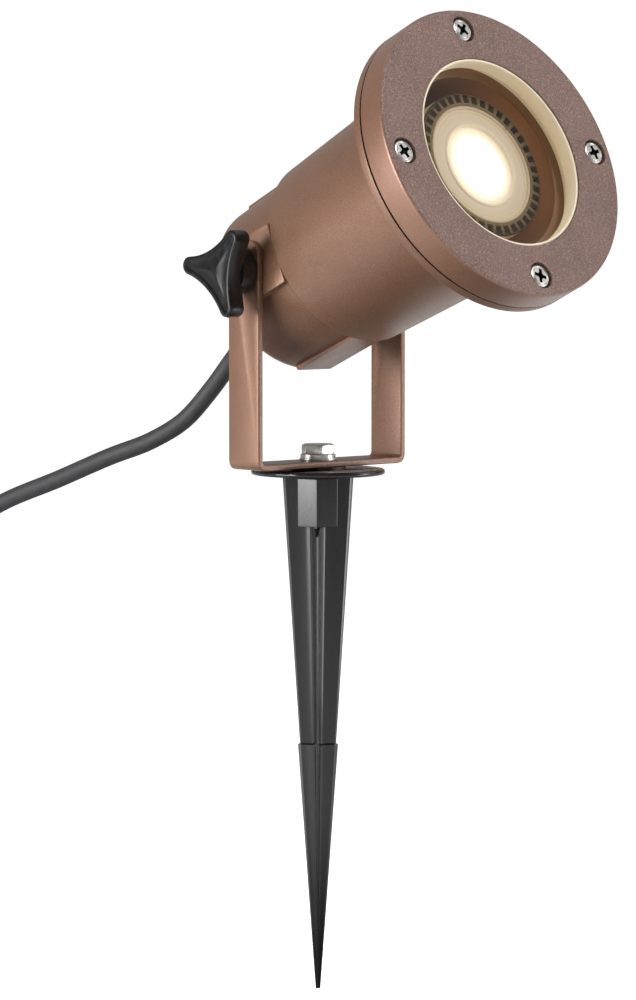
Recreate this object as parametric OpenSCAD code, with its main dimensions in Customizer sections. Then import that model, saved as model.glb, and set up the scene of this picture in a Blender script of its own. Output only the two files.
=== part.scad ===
// Garden spike spotlight: a round die-cast head with a bezel held by four screws,
// carried in a U bracket that swivels on a ground spike, with a rubber cord.
// Units are millimetres, +Z is up, and the origin lies on the spike's axis at the
// underside of its flange, the soil line. At rest the head looks towards -Y and up.

/* [Head] */

// Outer diameter of the bezel
bezel_diameter = 100; // [98:1:104]

// Thickness of the bezel from its face to the seam
bezel_thickness = 10.2; // [9.8:0.2:11]

// Width of the bezel's ring from its rim to the opening
bezel_width = 17.3; // [16.9:0.1:18]

// Distance of the bezel screws from the rim
screw_inset = 7; // [6:0.1:7]

// Distance from the tilt axis to the bezel's face
head_reach = 94.8; // [94:0.2:98]

// Distance from the tilt axis to the rear wall
rear_reach = 18.4; // [18:0.2:20]

// Step from the rim down to the barrel behind it
rim_step = 14; // [13.4:0.1:14.4]

/* [Lamp] */

// Diameter of the GU10 lamp's front ring
lamp_diameter = 50; // [48:0.5:50]

// Slots in the lamp's front ring
lamp_slots = 40; // [30:1:44]

/* [Bracket] */

// Thickness of the bracket's steel strap
strap_thickness = 2.1; // [1.8:0.1:2.4]

// Width of the bracket's strap
strap_width = 14.8; // [13:0.2:16]

// Height of the tilt axis above the soil line
pivot_height = 68.8; // [68.6:0.1:69]

// Radius of the clamping knob over its lobes
knob_radius = 16.1; // [15:0.1:18]

/* [Spike] */

// Diameter of the spike's flange
flange_diameter = 45; // [40:1:50]

// Length of the spike below the flange
spike_length = 174.7; // [174.5:0.1:175]

// Reach of the fins from the axis under the flange
fin_reach = 12; // [11:0.2:14]

/* [Cord] */

// Diameter of the rubber cord
cord_diameter = 6.2; // [6:0.1:6.4]

/* [Hidden] */

$fn = 64;

// Clearances that tie the fits together
slip = 0.05;       // radial gap of a shank in its thread, or of a sleeve in a bore
loose = 0.2;       // radial gap of a bolt in a clearance hole
seat = 0.1;        // gap between the glass and its gasket

// Head, measured along its axis from the tilt axis; the lamp looks along local +Z
head_tilt = 24.2;
face = head_reach;
lamp_setback = 9.9;
lamp_front = face - lamp_setback;
lamp_length = 47.5;
lamp_back = lamp_front - lamp_length;
holder_length = 16.2;
holder_back = lamp_back - holder_length;
strap_steel = 1.2;
ledge = holder_back - strap_steel;
shoulder = ledge - 5.5;
rim_radius = bezel_diameter / 2;
seam = 0.3;
bezel_back = face - bezel_thickness;
flange_front = bezel_back - seam;
flange_thickness = 3.1;
flange_back = flange_front - flange_thickness;
flange_round = 0.5;
barrel_front_radius = rim_radius - rim_step;
barrel_taper = 3.4;
barrel_back_radius = barrel_front_radius - barrel_taper;
barrel_wall = 2.1;
shoulder_step = 2.2;
neck_front_radius = barrel_back_radius - shoulder_step;
neck_taper = 1.1;
neck_back_radius = neck_front_radius - neck_taper;
neck_wall = 4.3;
rear_round = 3;
rear_wall = 4;
cavity_radius = barrel_back_radius - barrel_wall;
rear_cavity_radius = neck_back_radius - neck_wall;
screw_circle = rim_radius - screw_inset;
seal_land = 5.3;
spigot_radius = screw_circle - seal_land;
recess_radius = spigot_radius + 0.3;
recess_depth = 5;
recess_floor = face - recess_depth;
edge_round = 0.9;

// Glass in its gasket: a sleeve lines the opening and a channel holds the rim
bore_radius = rim_radius - bezel_width;
sleeve_wall = 0.8;
sleeve_front = face - 0.5;
lip = 0.8;
glass_thickness = 3;
glass_front = recess_floor - lip;
glass_back = glass_front - glass_thickness;
channel_radius = spigot_radius + 0.1;
glass_radius = channel_radius - sleeve_wall - seat;
back_lip = 0.6;
spigot_front = glass_back - back_lip;

// Flat pads above, below and beside the neck
top_pad_width = 14.6;
top_pad_front = neck_front_radius + 0.2;
top_pad_back = neck_back_radius + 0.7;
pad_end = -16;
pad_start = shoulder + 0.3;
pad_raise = 1.1;
arm_inside = neck_front_radius + pad_raise;
side_pad_width = 20.6;
boss_radius = 6.5;
boss_depth = 11;
thread_depth = 9;

// Bezel screws, M4 with pan heads in counterbores
screw_radius = 2;
screw_head_radius = 3.9;
screw_head_height = 2.6;
screw_head_round = 0.8;
counterbore_radius = 4.5;
counterbore_depth = 2.9;
screw_length = 10;
cross_width = 1;
cross_span = 4.4;
cross_depth = 1.3;

// Lamp with a GU10 base: front ring, frosted lens, tapering body and two pins
lamp_radius = lamp_diameter / 2;
lens_radius = 20.5;
lens_seat = 3;
lens_step_radius = 13.8;
ring_height = 6;
ring_taper = 1.4;
waist_radius = 16;
waist = lamp_front - 30;
base_radius = 14;
base_taper = 8;
slot_inner = lens_radius + 1;
slot_outer = lamp_radius - 0.6;
slot_width = 1.7;
slot_depth = 2.4;
pin_spacing = 10;
pin_radius = 1.3;
pin_foot_radius = 2.4;
pin_length = 7;
pin_foot = 2.6;
pin_root = 4;

// Ceramic holder on a steel strap that bridges the ledge inside the housing
strap_bar_width = 16;
strap_bar_length = 2 * (cavity_radius - 1.5);
ledge_screw_radius = (cavity_radius + rear_cavity_radius) / 2 - 0.1;
holder_screw_offset = 10.4;
holder_radius = 14;
wire_hole = 6;
small_screw_radius = 1.5;
small_head_radius = 2.7;
small_head_height = 1.8;
small_screw_length = 8;

// Cable gland through the rear wall, a little under the axis
gland_drop = 6;
gland_thread = 6;
gland_bore = 4.3;
gland_flats = 16;
gland_seal_thickness = 0.6;
gland_head = 2.4;
gland_inner_end = -9;
locknut_height = 3;
relief_inner_end = -12;
relief_end = -33;
relief_neck = gland_bore - slip;
relief_root = 6.4;
relief_tip = 4.3;
sheath_end = -6;

// Tilt axis: screw on the right, threaded stud with the knob on the left
m6 = 3;
arm_outside = arm_inside + strap_thickness;
washer_thickness = 1.6;
washer_radius = 7;
pivot_head_height = 4;
nut_flats = 10;
hub_radius = 8.25;
hub_height = 4.8;
knob_plate = 6.5;
lobe_radius = 3;
lobe_centre = knob_radius - lobe_radius;
lobe_turn = 83;
knob_waist = 7.4;
knob_dish = 0.8;
knob_rim = 1.6;
stud_buried = 8.5;
stud_in_knob = 8;

// Bracket, bent from one strap
bracket_floor = 2.7;
inner_bend = 1.5;
arm_top = 10;
arm_corner = 6;

// Swivel bolt with its washers and the nut held in the spike
bracket_top = bracket_floor + strap_thickness;
flat_washer_height = 0.8;
flat_washer_radius = 6.2;
spring_washer_height = 1.2;
spring_washer_radius = 5.9;
bolt_seat = bracket_top + flat_washer_height + spring_washer_height;
bolt_head_height = 3.5;
bolt_length = 16;
nut_height = 5;
nut_top = bracket_floor - 0.2;
bolt_hole_depth = 12;

// Spike: flange with a low hub, hexagonal boss and four fins that taper to the tip
flange_radius = flange_diameter / 2;
flange_height = 1.9;
hub_top_radius = 9.2;
boss_flats = 14.2;
boss_flats_low = 13;
boss_height = 17.5;
fin_turn = 45;
barb = -91.6;
fin_above_barb = 6.1;
fin_below_barb = 6.8;
fin_edge = 0.62;
fin_keen_edge = 0.25;
fin_valley = 1.45;
tip_reach = 0.8;
tip_edge = 0.16;
tip_keen_reach = 0.72;
tip_keen_edge = 0.045;
tip_valley = 0.29;
bevel_inner = 6.6;
bevel_top = -17.8;
bevel_slope = 0.6;

// Cord: free lead, then the unseen length wound into a coil beside the lamp
cord_radius = cord_diameter / 2;
tie_thickness = 1;
floor_level = -spike_length;
coil_pitch = cord_diameter + 0.6;
layer_rise = cord_diameter + 0.5;
coil_turns = 5;
rings_per_turn = 24;
coil_inner_radius = 26;
coil_outer_radius = coil_inner_radius + coil_pitch * coil_turns / 2;
coil_centre = [12, 262];
coil_low = floor_level + tie_thickness + cord_radius;
coil_high = coil_low + layer_rise;
coil_start_angle = 180;
coil_start = [coil_centre[0] - coil_outer_radius, coil_centre[1] - cord_diameter, coil_low];
plug_stub = 27.5;
coil_end = [coil_start[0], coil_centre[1] + plug_stub, coil_high];
coil_sides = 6;
lead_sides = 10;
tie_width = 8;
tie_gap = 0.3;

// Points of the free lead between the strain relief and the coil
lead_route = [
  [4.5, 47.5, 37.5], [3, 58, 26], [0, 69, 15], [-4, 81, 8], [-9, 97, 2],
  [-14, 120, -7], [-19, 147, -17], [-21, 157, -22], [-23, 166, -30], [-24.5, 174, -44],
  [-26, 182, -68], [-27.5, 190, -92], [-29, 199, -117], [-30, 207, -141],
  [-30.5, 215, -155], [-31, 227, -165], [-31, 240, -169.8]
];

// Plug with two round pins, lying flat on the floor
plug_half_width = 17.5;
plug_half_height = coil_high - floor_level;
plug_relief_length = 14;
plug_relief_radius = 5;
plug_neck_radius = 6.2;
plug_length = 30;
plug_taper = 13;
plug_corner = 4;
plug_pin_radius = 2.4;
plug_pin_length = 19;
plug_pin_gap = 19;
plug_pin_root = 6;
plug_pin_neck = 1.6;

// Colours
copper_brown = [0.42, 0.27, 0.18];
bezel_brown = [0.30, 0.24, 0.20];
black = [0.07, 0.07, 0.07];
rubber_black = [0.10, 0.10, 0.10];
silver = [0.75, 0.75, 0.73];
cream = [0.93, 0.88, 0.76];
white = [0.92, 0.92, 0.90];
clear = [0.80, 0.90, 0.92, 0.5];
brass = [0.78, 0.64, 0.32];

// Points of an arc about a centre
function arc(centre, radius, from, to, steps) =
  [for (i = [0 : steps]) let (a = from + (to - from) * i / steps)
    centre + radius * [cos(a), sin(a)]];

function unit(v) = v / norm(v);

// A point given in the head's own frame: across, along the axis and up
function head_point(across, along, up) =
  [across, up * sin(head_tilt) - along * cos(head_tilt),
   pivot_height + along * sin(head_tilt) + up * cos(head_tilt)];

// Direction of a path at one of its points
function heading(path, i) =
  unit(path[min(i + 1, len(path) - 1)] - path[max(i - 1, 0)]);

// One ring of a tube, square to the path, its first corner towards a reference
function ring(centre, along, reference, radius, sides) =
  let (u = unit(reference - (reference * along) * along), v = cross(along, u))
  [for (k = [0 : sides - 1]) centre + radius * (cos(360 * k / sides) * u + sin(360 * k / sides) * v)];

// Slope of a smooth curve at a point of its route, weighted by the steps beside it
function slope(route, i) =
  i == 0 ? unit(route[1] - route[0])
  : i == len(route) - 1 ? unit(route[i] - route[i - 1])
  : let (before = norm(route[i] - route[i - 1]), after = norm(route[i + 1] - route[i]))
    (unit(route[i + 1] - route[i]) * before + unit(route[i] - route[i - 1]) * after) / (before + after);

// A point on the smooth curve between two points of the route
function between(route, i, t) =
  let (span = norm(route[i + 1] - route[i]))
  route[i] * (2 * t * t * t - 3 * t * t + 1) + route[i + 1] * (3 * t * t - 2 * t * t * t)
  + span * slope(route, i) * (t * t * t - 2 * t * t + t) + span * slope(route, i + 1) * (t * t * t - t * t);

// Path through a route, with a step added in the middle of each long span
function smooth_path(route, long) = [
  for (i = [0 : len(route) - 2]) each
    norm(route[i + 1] - route[i]) > long ? [route[i], between(route, i, 0.5)] : [route[i]],
  route[len(route) - 1]
];

// Sweeps a round tube along a path and closes both ends
module tube(path, radius, sides, reference) {
  rings = len(path);
  points = [for (i = [0 : rings - 1]) each ring(path[i], heading(path, i), reference, radius, sides)];
  walls = [
    for (i = [0 : rings - 2]) for (k = [0 : sides - 1])
      let (a = i * sides + k, b = i * sides + (k + 1) % sides)
      each [[a, a + sides, b], [b, a + sides, b + sides]]
  ];
  end = (rings - 1) * sides;
  first = [for (k = [1 : sides - 2]) [0, k, k + 1]];
  last = [for (k = [1 : sides - 2]) [end, end + k + 1, end + k]];
  polyhedron(points = points, faces = concat(walls, first, last), convexity = 10);
}

// Puts children in the head's frame, local +Z along the lamp's axis and +Y up
module head_place()
  translate([0, 0, pivot_height]) rotate([90 - head_tilt, 0, 0]) children();

// Places children on the bezel's screw circle
module screw_places()
  for (a = [0 : 90 : 270]) rotate([0, 0, a]) translate([screw_circle, 0, 0]) children();

// Places children on the gland's axis
module gland_place() head_place() translate([0, -gland_drop, 0]) children();

// Turns local +Z to point left, or right, along the tilt axis
module left_place() translate([0, 0, pivot_height]) rotate([0, -90, 0]) children();
module right_place() translate([0, 0, pivot_height]) rotate([0, 90, 0]) children();

// A plain round piece between two levels
module disc(radius, low, high) translate([0, 0, low]) cylinder(r = radius, h = high - low);

// A hexagonal piece between two levels
module hexagon(flats, low, high)
  translate([0, 0, low]) cylinder(d = flats / cos(30), h = high - low, $fn = 6);

// A solid of revolution from points of radius and height
module turned(outline) rotate_extrude($fn = 96) polygon(outline);

module housing() color(copper_brown) head_place() difference() {
  union() {
    turned(concat(
      [[0, -rear_reach]],
      arc([neck_back_radius - rear_round, rear_round - rear_reach], rear_round, -90, 0, 4),
      [[neck_front_radius, shoulder - shoulder_step / 2],
       [barrel_back_radius, shoulder + shoulder_step / 2],
       [barrel_front_radius, flange_back - 1.2],
       [barrel_front_radius + 1, flange_back],
       [rim_radius - flange_round, flange_back],
       [rim_radius, flange_back + flange_round],
       [rim_radius, flange_front],
       [spigot_radius, flange_front],
       [spigot_radius, spigot_front],
       [cavity_radius, spigot_front],
       [cavity_radius, ledge],
       [rear_cavity_radius, ledge],
       [rear_cavity_radius, rear_wall - rear_reach],
       [0, rear_wall - rear_reach]]));
    for (side = [0, 1]) mirror([0, side, 0]) neck_pad();
    for (side = [0, 1]) mirror([side, 0, 0]) {
      arm_pad();
      translate([arm_inside - boss_depth, 0, 0]) rotate([0, 90, 0]) cylinder(r = boss_radius, h = boss_depth - 2);
    }
  }
  for (side = [-1, 1]) {
    translate([side * (arm_inside - thread_depth / 2 + 0.5), 0, 0]) rotate([0, 90, 0])
      cylinder(r = m6 + slip, h = thread_depth + 1, center = true);
    translate([side * ledge_screw_radius, 0, ledge - small_screw_length])
      cylinder(r = small_screw_radius + slip, h = small_screw_length + 1);
  }
  screw_places() disc(screw_radius + slip, flange_back - 1, flange_front + 1);
  translate([0, -gland_drop, 0]) disc(gland_thread + slip, -rear_reach - 1, rear_wall - rear_reach + 1);
}

// Raised flat strip above the neck; its mirror image lies below
module neck_pad() rotate([90, 0, 90]) linear_extrude(top_pad_width, center = true)
  polygon([[rear_cavity_radius + 1, pad_end], [top_pad_back - 0.6, pad_end], [top_pad_back, pad_end + 0.6],
           [top_pad_front, pad_start], [rear_cavity_radius + 1, pad_start]]);

// Flat face that a bracket arm bears on
module arm_pad() difference() {
  translate([rear_cavity_radius, -side_pad_width / 2, pad_end])
    cube([arm_inside - rear_cavity_radius, side_pad_width, pad_start - pad_end]);
  disc(rear_cavity_radius + 1, pad_end - 1, pad_start + 1);
}

module bezel() color(bezel_brown) head_place() difference() {
  turned(concat(
    [[bore_radius, recess_floor], [recess_radius, recess_floor], [recess_radius, bezel_back],
     [rim_radius - edge_round / 2, bezel_back], [rim_radius, bezel_back + edge_round / 2]],
    arc([rim_radius - edge_round, face - edge_round], edge_round, 0, 90, 3),
    [[bore_radius + 0.3, face], [bore_radius, face - 0.3]]));
  screw_places() {
    disc(screw_radius + loose, bezel_back - 1, face);
    disc(counterbore_radius, face - counterbore_depth, face + 1);
  }
}

// Four pan-head screws with cross recesses
module bezel_screws() color(silver) head_place() screw_places()
  translate([0, 0, face - counterbore_depth]) difference() {
    turned(concat(
      [[0, -screw_length], [screw_radius - 0.4, -screw_length], [screw_radius, 0.4 - screw_length],
       [screw_radius, 0], [screw_head_radius, 0]],
      arc([screw_head_radius - screw_head_round, screw_head_height - screw_head_round], screw_head_round, 0, 90, 3),
      [[0, screw_head_height]]));
    for (a = [45, 135]) rotate([0, 0, a]) translate([0, 0, screw_head_height])
      cube([cross_span, cross_width, 2 * cross_depth], center = true);
  }

module front_glass() color(clear) head_place() disc(glass_radius, glass_back, glass_front);

// Cream silicone: sleeve in the opening and channel round the glass
module glass_gasket() color(cream) head_place() turned([
  [bore_radius - slip - sleeve_wall, sleeve_front], [bore_radius - slip, sleeve_front],
  [bore_radius - slip, recess_floor], [channel_radius, recess_floor],
  [channel_radius, spigot_front], [bore_radius, spigot_front],
  [bore_radius, glass_back], [channel_radius - sleeve_wall, glass_back],
  [channel_radius - sleeve_wall, glass_front], [bore_radius - slip - sleeve_wall, glass_front]]);

module housing_seal() color(rubber_black) head_place() difference() {
  disc(rim_radius - 1.5, flange_front, bezel_back);
  disc(recess_radius + 1, flange_front - 1, bezel_back + 1);
  screw_places() disc(screw_radius + loose, flange_front - 1, bezel_back + 1);
}

module lamp_body() color(white) head_place() difference() {
  turned(concat(
    [[0, lamp_back], [base_radius - 1, lamp_back], [base_radius, lamp_back + 1],
     [base_radius, waist - base_taper], [waist_radius, waist],
     [lamp_radius - ring_taper, lamp_front - ring_height], [lamp_radius, lamp_front - ring_height + 1]],
    arc([lamp_radius - 0.8, lamp_front - 0.8], 0.8, 0, 90, 3),
    [[lens_radius + slip, lamp_front], [lens_radius + slip, lamp_front - lens_seat],
     [0, lamp_front - lens_seat]]));
  for (i = [0 : lamp_slots - 1]) rotate([0, 0, (i + 0.5) * 360 / lamp_slots])
    translate([slot_inner, -slot_width / 2, lamp_front - slot_depth])
      cube([slot_outer - slot_inner, slot_width, slot_depth + 1]);
  for (side = [-1, 1]) translate([side * pin_spacing / 2, 0, lamp_back - 1])
    cylinder(r = pin_radius + slip, h = pin_root + 1);
}

// Frosted lens with a raised rim, a stepped centre and two small notches
module lamp_lens() color(white) head_place() difference() {
  turned([[0, lamp_front - lens_seat], [lens_radius, lamp_front - lens_seat],
    [lens_radius, lamp_front - 0.3], [lens_radius - 1, lamp_front - 0.1],
    [lens_radius - 2.2, lamp_front - 0.9], [lens_step_radius + 1, lamp_front - 0.9],
    [lens_step_radius, lamp_front - 1.6], [0, lamp_front - 1.6]]);
  for (a = [40, 215]) rotate([0, 0, a]) translate([lens_radius - 0.4, 0, lamp_front])
    cube([1.6, 1.4, 2], center = true);
}

// Two stepped pins of the bayonet base
module lamp_pins() color(silver) head_place() for (side = [-1, 1])
  translate([side * pin_spacing / 2, 0, lamp_back]) turned([
    [0, -pin_length], [pin_foot_radius - 0.4, -pin_length], [pin_foot_radius, 0.4 - pin_length],
    [pin_foot_radius, pin_foot - pin_length], [pin_radius, pin_foot - pin_length],
    [pin_radius, pin_root], [0, pin_root]]);

module lamp_holder() color(white) head_place() difference() {
  turned([[0, holder_back], [holder_radius - 1, holder_back], [holder_radius, holder_back + 1],
    [holder_radius, lamp_back - 1.5], [holder_radius - 1.5, lamp_back], [0, lamp_back]]);
  for (side = [-1, 1]) {
    translate([side * pin_spacing / 2, 0, lamp_back - pin_length - 0.5])
      cylinder(r = pin_foot_radius + loose, h = pin_length + 1);
    translate([0, side * holder_screw_offset, holder_back - 1])
      cylinder(r = small_screw_radius + slip, h = small_screw_length + 1);
  }
}

module holder_strap() color(silver) head_place() difference() {
  intersection() {
    translate([-strap_bar_length / 2, -strap_bar_width / 2 - 6, ledge])
      cube([strap_bar_length, strap_bar_width + 12, strap_steel]);
    union() {
      translate([-strap_bar_length / 2, -strap_bar_width / 2, ledge - 1])
        cube([strap_bar_length, strap_bar_width, strap_steel + 2]);
      disc(holder_radius, ledge - 1, ledge + strap_steel + 1);
    }
    disc(cavity_radius - 0.5, ledge - 1, ledge + strap_steel + 1);
  }
  disc(wire_hole, ledge - 1, ledge + strap_steel + 1);
  for (side = [-1, 1]) {
    translate([side * ledge_screw_radius, 0, 0])
      disc(small_screw_radius + loose, ledge - 1, ledge + strap_steel + 1);
    translate([0, side * holder_screw_offset, 0])
      disc(small_screw_radius + loose, ledge - 1, ledge + strap_steel + 1);
  }
}

// A small pan-head screw, its seat at the origin and its shank downwards
module small_screw() difference() {
  turned([[0, -small_screw_length], [small_screw_radius - 0.3, -small_screw_length],
    [small_screw_radius, 0.3 - small_screw_length], [small_screw_radius, 0], [small_head_radius, 0],
    [small_head_radius, small_head_height - 0.6], [small_head_radius - 0.7, small_head_height],
    [0, small_head_height]]);
  for (a = [0, 90]) rotate([0, 0, a]) translate([0, 0, small_head_height])
    cube([3, 0.7, 1.6], center = true);
}

// Two screws hold the strap on the ledge, two hold the lamp holder on the strap
module holder_screws() color(silver) head_place() for (side = [-1, 1]) {
  translate([side * ledge_screw_radius, 0, holder_back]) small_screw();
  translate([0, side * holder_screw_offset, ledge]) mirror([0, 0, 1]) small_screw();
}

// Sheathed end of the cord inside the gland, and the two cores up to the holder
module supply_wires() color(rubber_black) {
  gland_place() disc(cord_radius, relief_end, sheath_end);
  head_place() for (side = [-1, 1])
    tube([for (i = [0 : 8]) let (t = i / 8)
      [side * (1.5 + 2 * t), -gland_drop * (1 + cos(180 * t)) / 2, sheath_end + (holder_back - sheath_end) * t]],
      1.2, 6, [1, 0, 0]);
}

module gland_body() color(black) gland_place() difference() {
  union() {
    disc(gland_thread, -rear_reach - gland_seal_thickness - gland_head, gland_inner_end);
    hexagon(gland_flats, -rear_reach - gland_seal_thickness - gland_head, -rear_reach - gland_seal_thickness);
  }
  disc(gland_bore, relief_end, gland_inner_end + 1);
}

module gland_seal() color(rubber_black) gland_place() difference() {
  disc(gland_flats / 2, -rear_reach - gland_seal_thickness, -rear_reach);
  disc(gland_thread + slip, -rear_reach - 1, -rear_reach + 1);
}

module gland_locknut() color(brass) gland_place() difference() {
  hexagon(gland_flats, rear_wall - rear_reach, rear_wall - rear_reach + locknut_height);
  disc(gland_thread + slip, rear_wall - rear_reach - 1, rear_wall - rear_reach + locknut_height + 1);
}

// Tapered rubber sleeve that grips the cord, with ribs to let it bend
module strain_relief() color(rubber_black) gland_place() difference() {
  root = -rear_reach - gland_seal_thickness - gland_head;
  turned([[cord_radius + slip, relief_end], [relief_tip, relief_end], [relief_root, root],
    [relief_neck, root], [relief_neck, relief_inner_end], [cord_radius + slip, relief_inner_end]]);
  for (i = [1 : 3]) translate([0, 0, root - 2.6 * i]) difference() {
    disc(relief_root + 1, -0.6, 0.6);
    disc(relief_root - 1.4 - 0.5 * i, -1, 1);
  }
}

// Hexagon-headed screw that the right arm turns on
module pivot_screw() color(silver) right_place() {
  disc(m6, arm_inside - stud_buried, arm_outside + washer_thickness);
  hexagon(nut_flats, arm_outside + washer_thickness, arm_outside + washer_thickness + pivot_head_height);
}

module pivot_washer() color(silver) right_place() difference() {
  disc(washer_radius, arm_outside, arm_outside + washer_thickness);
  disc(m6 + slip, arm_outside - 1, arm_outside + washer_thickness + 1);
}

module clamp_washer() color(black) left_place() difference() {
  disc(washer_radius, arm_outside, arm_outside + washer_thickness);
  disc(m6 + slip, arm_outside - 1, arm_outside + washer_thickness + 1);
}

// Outline of the knob: three round lobes joined by hollow sides that touch them
module knob_outline() {
  gap = knob_waist - lobe_radius;
  hollow_centre = (lobe_centre * lobe_centre - gap * gap) / (lobe_centre - 2 * gap);
  hollow_radius = hollow_centre - knob_waist;
  swing = atan2(hollow_centre * sin(60), hollow_centre * cos(60) - lobe_centre);
  difference() {
    polygon([for (k = [0 : 2]) for (s = [-1, 1])
      lobe_centre * [cos(120 * k), sin(120 * k)]
      + lobe_radius * [cos(120 * k + s * swing), sin(120 * k + s * swing)]]);
    for (k = [0 : 2]) rotate(120 * k + 60) translate([hollow_centre, 0]) circle(r = hollow_radius, $fn = 96);
  }
  for (k = [0 : 2]) rotate(120 * k) translate([lobe_centre, 0]) circle(r = lobe_radius, $fn = 32);
}

// Three-lobed clamping knob with a hub and a dished face
module knob() color(black) {
  plate = arm_outside + washer_thickness + hub_height;
  left_place() difference() {
    union() {
      disc(hub_radius, arm_outside + washer_thickness, plate + 1);
      translate([0, 0, plate]) rotate(lobe_turn) linear_extrude(knob_plate) knob_outline();
    }
    translate([0, 0, plate + knob_plate - knob_dish]) linear_extrude(knob_dish + 1)
      intersection() {
        circle(r = knob_radius - knob_rim - 0.4);
        rotate(lobe_turn) difference() {
          scale((knob_radius - knob_rim) / knob_radius) knob_outline();
          circle(r = 4);
        }
      }
    disc(m6 + slip, 0, arm_outside + washer_thickness + stud_in_knob);
  }
}

module knob_stud() color(silver) left_place()
  disc(m6, arm_inside - stud_buried, arm_outside + washer_thickness + stud_in_knob);

// Half of a plate outline with round lower corners
module rounded_floor(half_width, low, high, radius) {
  translate([-half_width, low + radius]) square([2 * half_width, high - low - radius]);
  translate([radius - half_width, low]) square([2 * (half_width - radius), radius + 1]);
  for (side = [-1, 1]) translate([side * (half_width - radius), low + radius]) circle(r = radius);
}

// U bracket: two arms with round corners and a floor between them
module bracket() color(copper_brown) difference() {
  top = pivot_height + arm_top;
  intersection() {
    rotate([90, 0, 0]) linear_extrude(strap_width + 2, center = true) difference() {
      rounded_floor(arm_outside, bracket_floor, top, inner_bend + strap_thickness);
      rounded_floor(arm_inside, bracket_top, top + 1, inner_bend);
    }
    rotate([90, 0, 90]) linear_extrude(2 * arm_outside + 2, center = true) {
      translate([-strap_width / 2, 0]) square([strap_width, top - arm_corner]);
      translate([arm_corner - strap_width / 2, 0]) square([strap_width - 2 * arm_corner, top]);
      for (side = [-1, 1]) translate([side * (strap_width / 2 - arm_corner), top - arm_corner])
        circle(r = arm_corner);
    }
  }
  translate([0, 0, pivot_height]) rotate([0, 90, 0])
    cylinder(r = m6 + slip, h = 2 * arm_outside + 2, center = true);
  disc(m6 + slip, bracket_floor - 1, bracket_top + 1);
}

module flat_washer() color(silver) difference() {
  disc(flat_washer_radius, bracket_top, bracket_top + flat_washer_height);
  disc(m6 + loose, bracket_top - 1, bolt_seat);
}

// Split ring, its cut slanting across
module spring_washer() color(silver) difference() {
  disc(spring_washer_radius, bracket_top + flat_washer_height, bolt_seat);
  disc(m6 + loose, bracket_top, bolt_seat + 1);
  translate([m6 + 1.6, 0, bolt_seat - spring_washer_height / 2]) rotate([25, 0, 0])
    cube([5, 0.9, 4], center = true);
}

module swivel_bolt() color(silver) {
  disc(m6, bolt_seat - bolt_length, bolt_seat);
  intersection() {
    hexagon(nut_flats, bolt_seat, bolt_seat + bolt_head_height);
    turned([[0, bolt_seat], [nut_flats * 0.6, bolt_seat], [nut_flats * 0.6, bolt_seat + bolt_head_height - 0.6],
      [nut_flats * 0.48, bolt_seat + bolt_head_height], [0, bolt_seat + bolt_head_height]]);
  }
}

module spike_nut() color(silver) difference() {
  hexagon(nut_flats, nut_top - nut_height, nut_top);
  disc(m6 + slip, nut_top - nut_height - 1, nut_top + 1);
}

// Hollow flank of a fin along X, from half its edge in to the valley between two fins
function flank(reach, edge, valley) =
  [for (j = [0 : 3]) let (x = reach * pow(valley / reach, j / 4))
    [x, edge * pow(reach / x, ln(valley / edge) / ln(reach / valley))]];

// Cross-section of the fins: keen ones along X, which lie fore and aft, and blunt ones along Y
module star(reach, edge, keen_reach, keen_edge, valley) {
  keen = flank(keen_reach, keen_edge, valley);
  blunt = flank(reach, edge, valley);
  quarter = concat(keen, [[valley, valley]], [for (j = [3 : -1 : 0]) [blunt[j][1], blunt[j][0]]]);
  last = len(quarter) - 1;
  polygon(concat(
    quarter, [for (j = [last : -1 : 0]) [-quarter[j][0], quarter[j][1]]],
    -quarter, [for (j = [last : -1 : 0]) [quarter[j][0], -quarter[j][1]]]));
}

// Hexagonal boss that narrows downwards, a corner towards the front left
module boss() intersection_for(k = [0 : 2]) rotate([0, 0, fin_turn + 60 * k]) rotate([90, 0, 0])
  linear_extrude(2 * boss_flats, center = true)
    polygon([[-boss_flats / 2, 1], [boss_flats / 2, 1],
             [boss_flats_low / 2, -boss_height], [-boss_flats_low / 2, -boss_height]]);

// Fins above the barb; the two that lie fore and aft start under the boss
module upper_fins() difference() {
  bevel_outer = fin_reach + 3;
  translate([0, 0, barb]) rotate([0, 0, fin_turn]) linear_extrude(-barb + 0.5, scale = fin_reach / fin_above_barb)
    star(fin_above_barb, fin_edge, fin_above_barb, fin_keen_edge, fin_valley);
  for (side = [0, 180]) rotate([0, 0, fin_turn + side]) rotate([90, 0, 0])
    linear_extrude(8, center = true)
      polygon([[bevel_inner, bevel_top], [bevel_outer, bevel_top - bevel_slope * (bevel_outer - bevel_inner)],
               [bevel_outer, 2], [bevel_inner, 2]]);
}

module spike() color(black) difference() {
  union() {
    turned(concat(
      [[0, 0]],
      arc([flange_radius - flange_height / 2, flange_height / 2], flange_height / 2, -90, 90, 8),
      [[hub_top_radius + 0.3, flange_height], [hub_top_radius, bracket_floor], [0, bracket_floor]]));
    boss();
    upper_fins();
    translate([0, 0, floor_level]) rotate([0, 0, fin_turn])
      linear_extrude(barb - floor_level, scale = fin_below_barb / tip_reach)
        star(tip_reach, tip_edge, tip_keen_reach, tip_keen_edge, tip_valley);
  }
  disc(m6 + loose, -bolt_hole_depth, bracket_floor + 1);
  hexagon(nut_flats + 2 * slip, nut_top - nut_height, bracket_floor + 1);
}

lead_start = head_point(0, relief_end, -gland_drop);
lead_second = head_point(0, relief_end - cord_radius, -gland_drop);
lead_path = smooth_path(
  concat([lead_start, lead_second], lead_route, [coil_start - [0, cord_diameter, 0], coil_start]),
  2.6 * cord_diameter);

// Free lead from the strain relief down to the coil
module cord_lead() color(rubber_black) tube(lead_path, cord_radius, lead_sides, [1, 0, 0]);

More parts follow.
